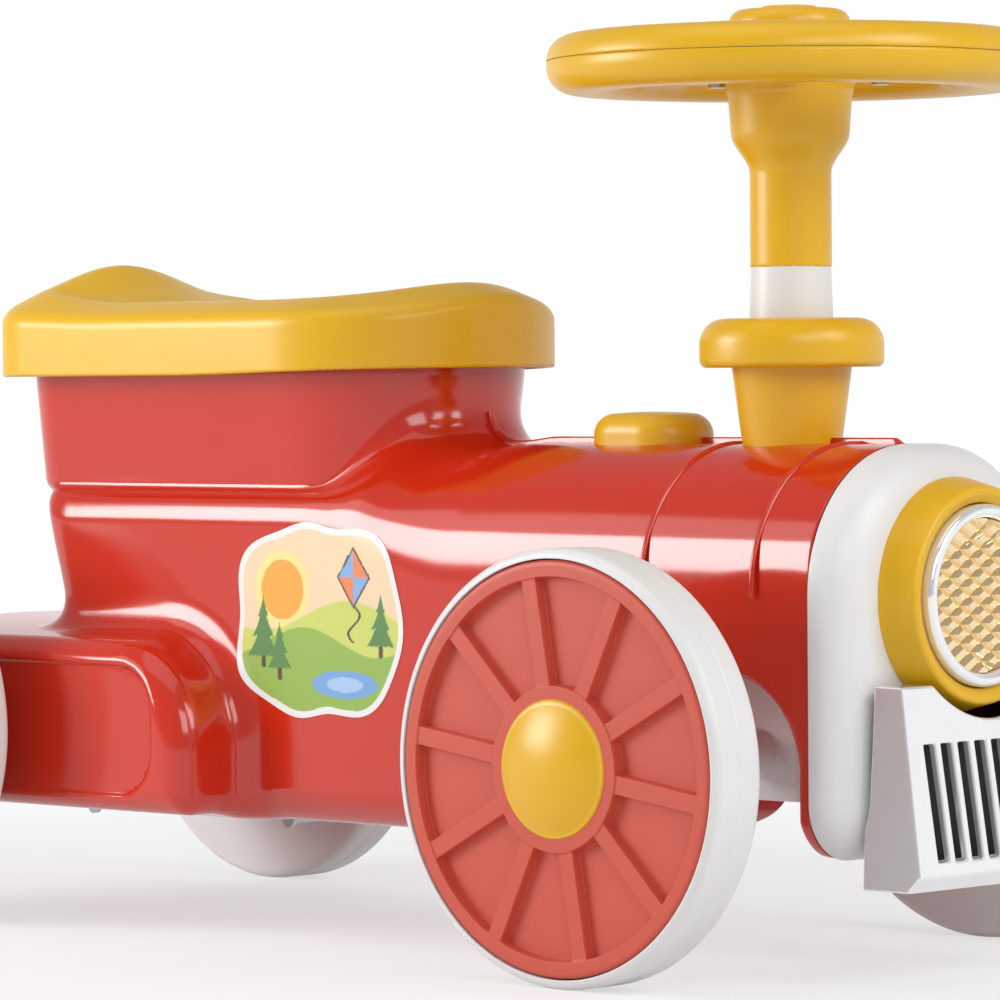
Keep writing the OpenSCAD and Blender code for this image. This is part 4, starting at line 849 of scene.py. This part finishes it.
BEZEL_GAP, BEZEL_PROUD = 0.5, 2.0
BEZEL_SEAT = LAMP_L - BEZEL_L + BEZEL_PROUD


def boiler_outline(inset, count=OUTLINE_POINTS):
    """Points (y, z) round the boiler's section, drawn in by an inset, anticlockwise from the left foot."""
    cy, fy = BOILER_W - CROWN_R, BOILER_W - FOOT_R
    cz, fz = BOILER_TOP - CROWN_R, BOILER_BOTTOM + FOOT_R
    rc, rf = max(CROWN_R - inset, LEAST_R), max(FOOT_R - inset, LEAST_R)
    parts = []
    for y0, z0, r, start in ((fy, fz, rf, -90), (cy, cz, rc, 0), (-cy, cz, rc, 90), (-fy, fz, rf, 180)):
        a = np.radians(np.linspace(start, start + 90, count // 4))
        parts.append(np.stack([y0 + r * np.cos(a), z0 + r * np.sin(a)], 1))
    return np.concatenate(parts)


def outline_at(x, outline):
    """Points of a boiler outline at a place along the body."""
    return np.concatenate([np.full((len(outline), 1), x), outline], 1)


def build_front_panel():
    rings = [(BOILER_FRONT - FRONT_SINK, FRONT_REBATE), (BOILER_FRONT, FRONT_REBATE)]
    rings.append((BOILER_FRONT + FRONT_LIP, FRONT_LIP_INSET))
    for a in np.radians(np.linspace(0, 90, DOME_RINGS)):
        rise = FRONT_GAP + (FRONT_L - FRONT_GAP) * math.sin(a)
        rings.append((BOILER_FRONT + rise, DOME_INSET * (1 - math.cos(a))))
    rings += [(BOILER_FRONT + FRONT_L, inset) for inset in FACE_INSETS]
    points = [outline_at(x, boiler_outline(inset)) for x, inset in rings]
    faces = grid_faces(len(rings), len(points[0]), True)
    obj = add_mesh("front_panel_skin", np.concatenate(points), faces)
    mark_sharp(obj.data, FRONT_CREASE)
    dress(obj, "chassis", "white_plastic", "front_panel")


def build_headlight():
    face = Vector(((COLUMN_X + BOILER_FRONT + FRONT_L) * MM, 0, LAMP_Z * MM))
    axis = Matrix.Translation(face) @ Matrix.Rotation(math.pi / 2, 4, "Y")
    bezel_bore = BEZEL_R + BEZEL_GAP
    ring = rounded([
        (LAMP_R - LAMP_ROOT_IN, -LAMP_ROOT, 0), (LAMP_R, LAMP_FOOT, LAMP_FOOT_R),
        (LAMP_FRONT_R + LAMP_LIP_OUT, LAMP_L, LAMP_LIP_R),
        (LAMP_FRONT_R - LAMP_LIP_IN, LAMP_L - LAMP_LIP_DROP, LAMP_LIP_INNER_R),
        (bezel_bore, LAMP_L - LAMP_MOUTH_DROP, LAMP_MOUTH_R), (bezel_bore, BEZEL_SEAT, 0),
        (LAMP_BORE_R, BEZEL_SEAT, 0), (LAMP_BORE_R, -LAMP_SINK, 0), (AXIS_R, -LAMP_SINK, 0),
    ])
    lathe_piece("headlight_ring_skin", ring, "chassis", "yellow_plastic", "headlight_ring", axis=axis)
    inner, top = BEZEL_R - BEZEL_W, BEZEL_SEAT + BEZEL_L
    bezel = rounded([
        (BEZEL_R, BEZEL_SEAT, 0), (BEZEL_R, top, BEZEL_EDGE),
        (inner, top, BEZEL_EDGE), (inner, BEZEL_SEAT, 0),
    ])
    lathe_piece("headlight_bezel_skin", bezel, "chassis", "chrome_plating", "headlight_bezel", axis=axis)


# Oval button on the boiler
BUTTON_X, BUTTON_L, BUTTON_W, BUTTON_TOP = 77.0, 54.0, 40.0, 226.0
BUTTON_EDGE, BUTTON_CROWN = 8.0, 0.0025
BUTTON_SINK = 14.0


def button_field(x, y, z):
    """The oval button, with a slightly crowned top."""
    run = (BUTTON_L - BUTTON_W) / 2
    plan = np.hypot(np.maximum(np.abs(x + BUTTON_X) - run, 0), y) - BUTTON_W / 2
    top = BUTTON_TOP - BUTTON_CROWN * ((x + BUTTON_X) ** 2 + y**2)
    return corner(plan, z - top, BUTTON_EDGE)


def build_button():
    half_l, half_w = BUTTON_L / 2 + NET_MARGIN, BUTTON_W / 2 + NET_MARGIN
    low = (-BUTTON_X - half_l, -half_w, BOILER_TOP - BUTTON_SINK)
    high = (-BUTTON_X + half_l, half_w, BUTTON_TOP + NET_MARGIN)
    obj = field_piece("boiler_button_skin", button_field, low, high, BUTTON_STEP)
    dress(obj, "tune_button", "yellow_plastic", "boiler_button")


# Ring beads round the boiler
BANDS = (-22.0, 37.5)
BAND_W, BAND_H = 2.4, 1.1
BAND_ROWS, BAND_POINTS = 9, 320
BAND_CLEAR = 1.5  # how far above the arch the beads stop


def arch_height(x):
    """Height of the arch's edge at a place along the body."""
    return ARCH_TOP - ARCH_R + math.sqrt(max(ARCH_R**2 - max(abs(x) - (ARCH_W - ARCH_R), 0) ** 2, 0))


def build_bands():
    for i, x in enumerate(BANDS):
        rows = []
        for a in np.radians(np.linspace(0, 180, BAND_ROWS)):
            outline = boiler_outline(-BAND_H * math.sin(a), BAND_POINTS)
            rows.append(outline_at(x - BAND_W / 2 * math.cos(a), outline))
        rows = np.stack(rows)
        rows = rows[:, rows[0, :, 2] > arch_height(x) + BAND_CLEAR]
        faces = grid_faces(BAND_ROWS, rows.shape[1], False)
        dress(add_mesh(f"boiler_band_{i + 1}", rows.reshape(-1, 3), faces), "chassis", "red_plastic")


# Raised lip along the seam on the boiler's top
LIP_W, LIP_H, LIP_ROOT = 3.0, 2.4, -1.5
LIP_EDGE, LIP_BEVEL = 0.7, 0.2
LIP_START, LIP_END, LIP_FADE = 0.3, 8.0, 5.0
LIP_POINTS = 500
TOP_SEARCH = (100.0, BOX_RIM + 20)


def skin_top(x):
    """Height of the body's top on its middle plane."""
    low, high = (np.full_like(x, z) for z in TOP_SEARCH)
    return find_edge(lambda z: body_skin(x, np.zeros_like(x), z), low, high)


def build_lip():
    x = np.linspace(-BOX_FRONT + LIP_START, BOILER_FRONT - LIP_END, LIP_POINTS)
    path = np.stack([x, skin_top(x)], 1)
    slope = unit(np.gradient(path, axis=0))
    normal = np.stack([-slope[:, 1], slope[:, 0]], 1)
    half = [(0.0, LIP_ROOT), (0.0, LIP_H - LIP_EDGE), (LIP_BEVEL, LIP_H - LIP_BEVEL), (LIP_EDGE, LIP_H)]
    section = half + [(LIP_W - y, h) for y, h in half[::-1]]
    fade = ease((BOILER_FRONT - LIP_END - x) / LIP_FADE)
    rows = []
    for y, h in section:
        rise = np.where(h > 0, h * fade, h)
        p = path + normal * rise[:, None]
        rows.append(np.stack([p[:, 0], np.full(len(p), y), p[:, 1]], 1))
    points = np.stack(rows[::-1], 1).reshape(-1, 3)
    obj = add_mesh("seam_lip", points, grid_faces(LIP_POINTS, len(section), False))
    dress(obj, "chassis", "red_plastic")


# Generic landscape decal on the right side, drawn from its middle
DECAL_X, DECAL_Z = -211.0, 137.0
DECAL_HALF_L, DECAL_HALF_H, DECAL_POWER = 50.0, 41.0, 3
DECAL_WAVES, DECAL_WAVE_H, DECAL_WAVE_TURN = 7, 0.03, 0.4
DECAL_BORDER, DECAL_LIFT, DECAL_ROUGHNESS = 3.0, 0.25, 0.3
DECAL_CENTRE = 0.005
SIDE_SEARCH = (-40.0, -112.0)
BORDER_COLOUR, SKY_COLOUR = (236, 236, 234), (240, 214, 176)
SUN_U, SUN_V, SUN_R, GLOW_R = -22.0, 13.0, 13.0, 17.0
SUN_COLOUR, GLOW_COLOUR = (244, 170, 66), (250, 226, 150)
# Middle height, swell, run, shift and colour of each hill line
HILLS = ((2.0, 7.0, 17.0, 0.5, (206, 214, 110)), (-9.0, 6.0, 14.0, 2.2, (150, 184, 84)))
POND_U, POND_V, POND_L, POND_H, POND_SHINE = 16.0, -27.0, 20.0, 6.0, 0.55
POND_COLOUR, SHINE_COLOUR = (122, 168, 220), (168, 200, 236)
# Foot (u, v) and height of each tree
TREES = ((-34.0, -18.0, 26.0), (-24.0, -23.0, 20.0), (38.0, -12.0, 22.0))
TRUNK_W, TRUNK_H, LEAF_RISE = 1.3, 3.0, 2.0
TIERS, TIER_SPREAD, TIER_TIP, TIER_SKIRT = 3, 0.3, 0.75, 0.5
TRUNK_COLOUR, LEAF_COLOUR = (92, 70, 62), (92, 138, 76)
KITE_U, KITE_V, KITE_W, KITE_H, KITE_RIM = 22.0, 19.0, 9.0, 12.0, 1.12
TAIL_TOP, TAIL_END, TAIL_SWAY, TAIL_RUN, TAIL_W = 7.0, -9.0, 3.5, 2.6, 0.8
KITE_WARM, KITE_COOL, KITE_LINE = (238, 138, 84), (136, 176, 226), (84, 70, 66)


def skin_side(x, z):
    """Place across of the body's right wall."""
    inner, outer = (np.full_like(x, y) for y in SIDE_SEARCH)
    return find_edge(lambda y: body_skin(x, y, z), inner, outer)


def decal_colours(u, v, edge):
    """Colours of the decal: hills, a pond, trees, a sun and a kite inside a white border."""
    colour = np.tile(srgb(*SKY_COLOUR), (len(u), 1))

    def paint(inside, rgb):
        colour[inside] = srgb(*rgb)

    sun = np.hypot(u - SUN_U, v - SUN_V)
    paint(sun < GLOW_R, GLOW_COLOUR)
    paint(sun < SUN_R, SUN_COLOUR)
    for middle, swell, run, shift, rgb in HILLS:
        paint(v < middle + swell * np.sin(u / run + shift), rgb)
    pond = np.hypot((u - POND_U) / POND_L, (v - POND_V) / POND_H)
    paint(pond < 1, POND_COLOUR)
    paint(pond < POND_SHINE, SHINE_COLOUR)
    for foot_u, foot_v, tall in TREES:
        paint((np.abs(u - foot_u) < TRUNK_W) & (np.abs(v - foot_v) < TRUNK_H), TRUNK_COLOUR)
        up = (v - foot_v - LEAF_RISE) / tall
        tier = tall * TIER_SPREAD * (1 - up) * (TIER_TIP + TIER_SKIRT * (1 - (up * TIERS) % 1))
        paint((up > 0) & (up < 1) & (np.abs(u - foot_u) < tier), LEAF_COLOUR)
    kite = np.abs(u - KITE_U) / KITE_W + np.abs(v - KITE_V) / KITE_H
    quarter = (u - KITE_U) * (v - KITE_V)
    paint(kite < KITE_RIM, KITE_LINE)
    paint((kite < 1) & (quarter > 0), KITE_WARM)
    paint((kite < 1) & (quarter <= 0), KITE_COOL)
    tail = KITE_U - TAIL_SWAY * np.sin((v - TAIL_TOP) / TAIL_RUN)
    paint((v < TAIL_TOP) & (v > TAIL_END) & (np.abs(u - tail) < TAIL_W), KITE_LINE)
    paint(edge < DECAL_BORDER, BORDER_COLOUR)
    return colour


def decal_material():
    """Plastic film that takes its colour from the mesh's tint."""
    material = plastic("decal_film", BORDER_COLOUR, DECAL_ROUGHNESS)
    nodes, links = material.node_tree.nodes, material.node_tree.links
    tint = nodes.new("ShaderNodeAttribute")
    tint.attribute_name = "tint"
    links.new(tint.outputs["Color"], nodes["Principled BSDF"].inputs["Base Color"])
    return material


def build_decal():
    share = np.linspace(DECAL_CENTRE, 1, DECAL_RINGS)[:, None]
    a = np.linspace(0, 2 * math.pi, DECAL_TURNS, endpoint=False)
    along, up = np.abs(np.cos(a) / DECAL_HALF_L), np.abs(np.sin(a) / DECAL_HALF_H)
    reach = (along**DECAL_POWER + up**DECAL_POWER) ** (-1 / DECAL_POWER)
    reach = reach * (1 + DECAL_WAVE_H * np.cos(DECAL_WAVES * a + DECAL_WAVE_TURN))
    u, v = (share * reach * np.cos(a)).ravel(), (share * reach * np.sin(a)).ravel()
    edge = ((1 - share) * reach).ravel()
    x, z = DECAL_X + u, DECAL_Z + v
    points = np.stack([x, skin_side(x, z) - DECAL_LIFT, z], 1)
    obj = add_mesh("side_decal", points, grid_faces(DECAL_RINGS, DECAL_TURNS, True))
    tint = obj.data.color_attributes.new("tint", "FLOAT_COLOR", "POINT")
    tint.data.foreach_set("color", decal_colours(u, v, edge).ravel())
    dress(obj, "chassis", "white_plastic", material=decal_material())


build_body()
build_decal()
build_wheels()
build_seat()
build_helm()
build_column()
build_front_panel()
build_headlight()
build_button()
build_bands()
build_lip()

# Floor and light, in metres
FLOOR_SIZE = 40
ROOM_LIGHT = 0.36
BACKDROP_Y, BACKDROP_Z = (-0.3, 0.4), (0.6, 0.05)
SHADOW_LIFT, SHADOW_FADE = 0.62, (0.25, 1.1)
PAPER_ROUGHNESS, PAPER_GRAIN = 0.7, 90.0
PAPER_TONES = {"A": (0.82, 0.82, 0.82, 1), "B": (0.85, 0.845, 0.84, 1)}
SOFTBOXES = {
    "side_wall": dict(place=(-1.05, -1.12, 0.98), aim=(0, 0, 0.98), width=0.9, height=1.3, power=5),
    "side_softbox": dict(place=(-0.98, -1.12, 0.6), aim=(0, 0, 0.45), width=0.7, height=0.56, power=11.5),
    "top_softbox": dict(place=(0.1, -0.5, 2.4), aim=(0, 0, 0.1), width=2.0, height=2.0, power=9),
    "front_softbox": dict(place=(2.2, 0.2, 1.5), aim=(0.3, 0, 0.15), width=1.2, height=1.2, power=22),
    "fill_softbox": dict(place=(2.2, -1.3, 1.3), aim=(0.2, 0, 0.15), width=1.0, height=1.0, power=12),
}


def math_node(nodes, links, operation, a, b):
    """Output of a calculation with two shader values."""
    node = nodes.new("ShaderNodeMath")
    node.operation = operation
    links.new(a, node.inputs[0])
    links.new(b, node.inputs[1])
    return node.outputs[0]


def step_node(nodes, links, value, start, end, low=0.0, high=1.0):
    """Output that runs smoothly from low to high while a shader value goes from start to end."""
    node = nodes.new("ShaderNodeMapRange")
    node.interpolation_type = "SMOOTHSTEP"
    node.inputs["From Min"].default_value, node.inputs["From Max"].default_value = start, end
    node.inputs["To Min"].default_value, node.inputs["To Max"].default_value = low, high
    links.new(value, node.inputs["Value"])
    return node.outputs["Result"]


def floor_paper():
    """White paper that keeps a soft shadow and runs out to plain white away from the object."""
    material = bpy.data.materials.new("floor_paper")
    material.use_nodes = True
    nodes, links = material.node_tree.nodes, material.node_tree.links
    paper = nodes["Principled BSDF"]
    paper.inputs["Roughness"].default_value = PAPER_ROUGHNESS
    noise = nodes.new("ShaderNodeTexNoise")
    noise.inputs["Scale"].default_value = PAPER_GRAIN
    tone = nodes.new("ShaderNodeMix")
    tone.data_type = "RGBA"
    for side, colour in PAPER_TONES.items():
        tone.inputs[side].default_value = colour
    links.new(noise.outputs["Fac"], tone.inputs["Factor"])
    links.new(tone.outputs["Result"], paper.inputs["Base Color"])
    white = nodes.new("ShaderNodeEmission")
    white.inputs["Strength"].default_value = 1.0
    place = nodes.new("ShaderNodeNewGeometry")
    distance = nodes.new("ShaderNodeVectorMath")
    distance.operation = "LENGTH"
    links.new(place.outputs["Position"], distance.inputs[0])
    fade = step_node(nodes, links, distance.outputs["Value"], *SHADOW_FADE, SHADOW_LIFT, 1.0)
    path = nodes.new("ShaderNodeLightPath")
    seen = math_node(nodes, links, "MAXIMUM", path.outputs["Is Camera Ray"], path.outputs["Is Glossy Ray"])
    seen = math_node(nodes, links, "MAXIMUM", seen, path.outputs["Is Transmission Ray"])
    share = math_node(nodes, links, "MULTIPLY", fade, seen)
    shown = nodes.new("ShaderNodeMixShader")
    links.new(share, shown.inputs[0])
    links.new(paper.outputs[0], shown.inputs[1])
    links.new(white.outputs[0], shown.inputs[2])
    links.new(shown.outputs[0], nodes["Material Output"].inputs["Surface"])
    return material


def build_floor():
    bpy.ops.mesh.primitive_plane_add(size=FLOOR_SIZE)
    floor = bpy.context.object
    floor.name = "floor"
    floor.data.materials.append(floor_paper())


def build_room():
    """A white room, bright where it is seen or shines from behind the object, and dim as a light."""
    world = bpy.data.worlds.new("studio")
    bpy.context.scene.world = world
    world.use_nodes = True
    nodes, links = world.node_tree.nodes, world.node_tree.links
    background = nodes["Background"]
    way = nodes.new("ShaderNodeTexCoord")
    parts = nodes.new("ShaderNodeSeparateXYZ")
    links.new(way.outputs["Generated"], parts.inputs[0])
    far_side = step_node(nodes, links, parts.outputs["Y"], *BACKDROP_Y)
    low_down = step_node(nodes, links, parts.outputs["Z"], *BACKDROP_Z)
    backdrop = math_node(nodes, links, "MULTIPLY", far_side, low_down)
    path = nodes.new("ShaderNodeLightPath")
    shine = math_node(nodes, links, "MULTIPLY", path.outputs["Is Glossy Ray"], backdrop)
    seen = math_node(nodes, links, "MAXIMUM", path.outputs["Is Camera Ray"], shine)
    seen = math_node(nodes, links, "MAXIMUM", seen, path.outputs["Is Transmission Ray"])
    strength = nodes.new("ShaderNodeMix")
    strength.inputs["A"].default_value = ROOM_LIGHT
    strength.inputs["B"].default_value = 1.0
    links.new(seen, strength.inputs["Factor"])
    links.new(strength.outputs["Result"], background.inputs["Strength"])
    background.inputs["Color"].default_value = (1, 1, 1, 1)


def build_softboxes():
    for name, box in SOFTBOXES.items():
        light = bpy.data.lights.new(name, "AREA")
        light.shape = "RECTANGLE"
        light.size, light.size_y = box["width"], box["height"]
        light.energy = box["power"]
        obj = add_object(name, light)
        obj.location = box["place"]
        ahead = Vector(box["aim"]) - Vector(box["place"])
        obj.rotation_euler = ahead.to_track_quat("-Z", "Y").to_euler()


# Camera, in metres and degrees
CAMERA_PLACE = Vector((1.7074, -1.7322, 0.2455))
CAMERA_AZIMUTH, CAMERA_TILT, CAMERA_ROLL = map(math.radians, (43.927, -1.374, -0.452))
CAMERA_LENS, CAMERA_SENSOR = 200.46, 36.0
CAMERA_CLIP = (0.05, 100)


def build_camera():
    data = bpy.data.cameras.new("camera")
    data.sensor_width = CAMERA_SENSOR
    data.lens = CAMERA_LENS
    data.clip_start, data.clip_end = CAMERA_CLIP
    ahead = Vector((-math.sin(CAMERA_AZIMUTH) * math.cos(CAMERA_TILT),
                    math.cos(CAMERA_AZIMUTH) * math.cos(CAMERA_TILT), math.sin(CAMERA_TILT)))
    turn = ahead.to_track_quat("-Z", "Y").to_matrix().to_4x4() @ Matrix.Rotation(CAMERA_ROLL, 4, "Z")
    bpy.context.scene.camera = add_object("camera", data, Matrix.Translation(CAMERA_PLACE) @ turn)


build_floor()
build_room()
build_softboxes()
build_camera()
bpy.context.scene.view_settings.view_transform = "Standard"
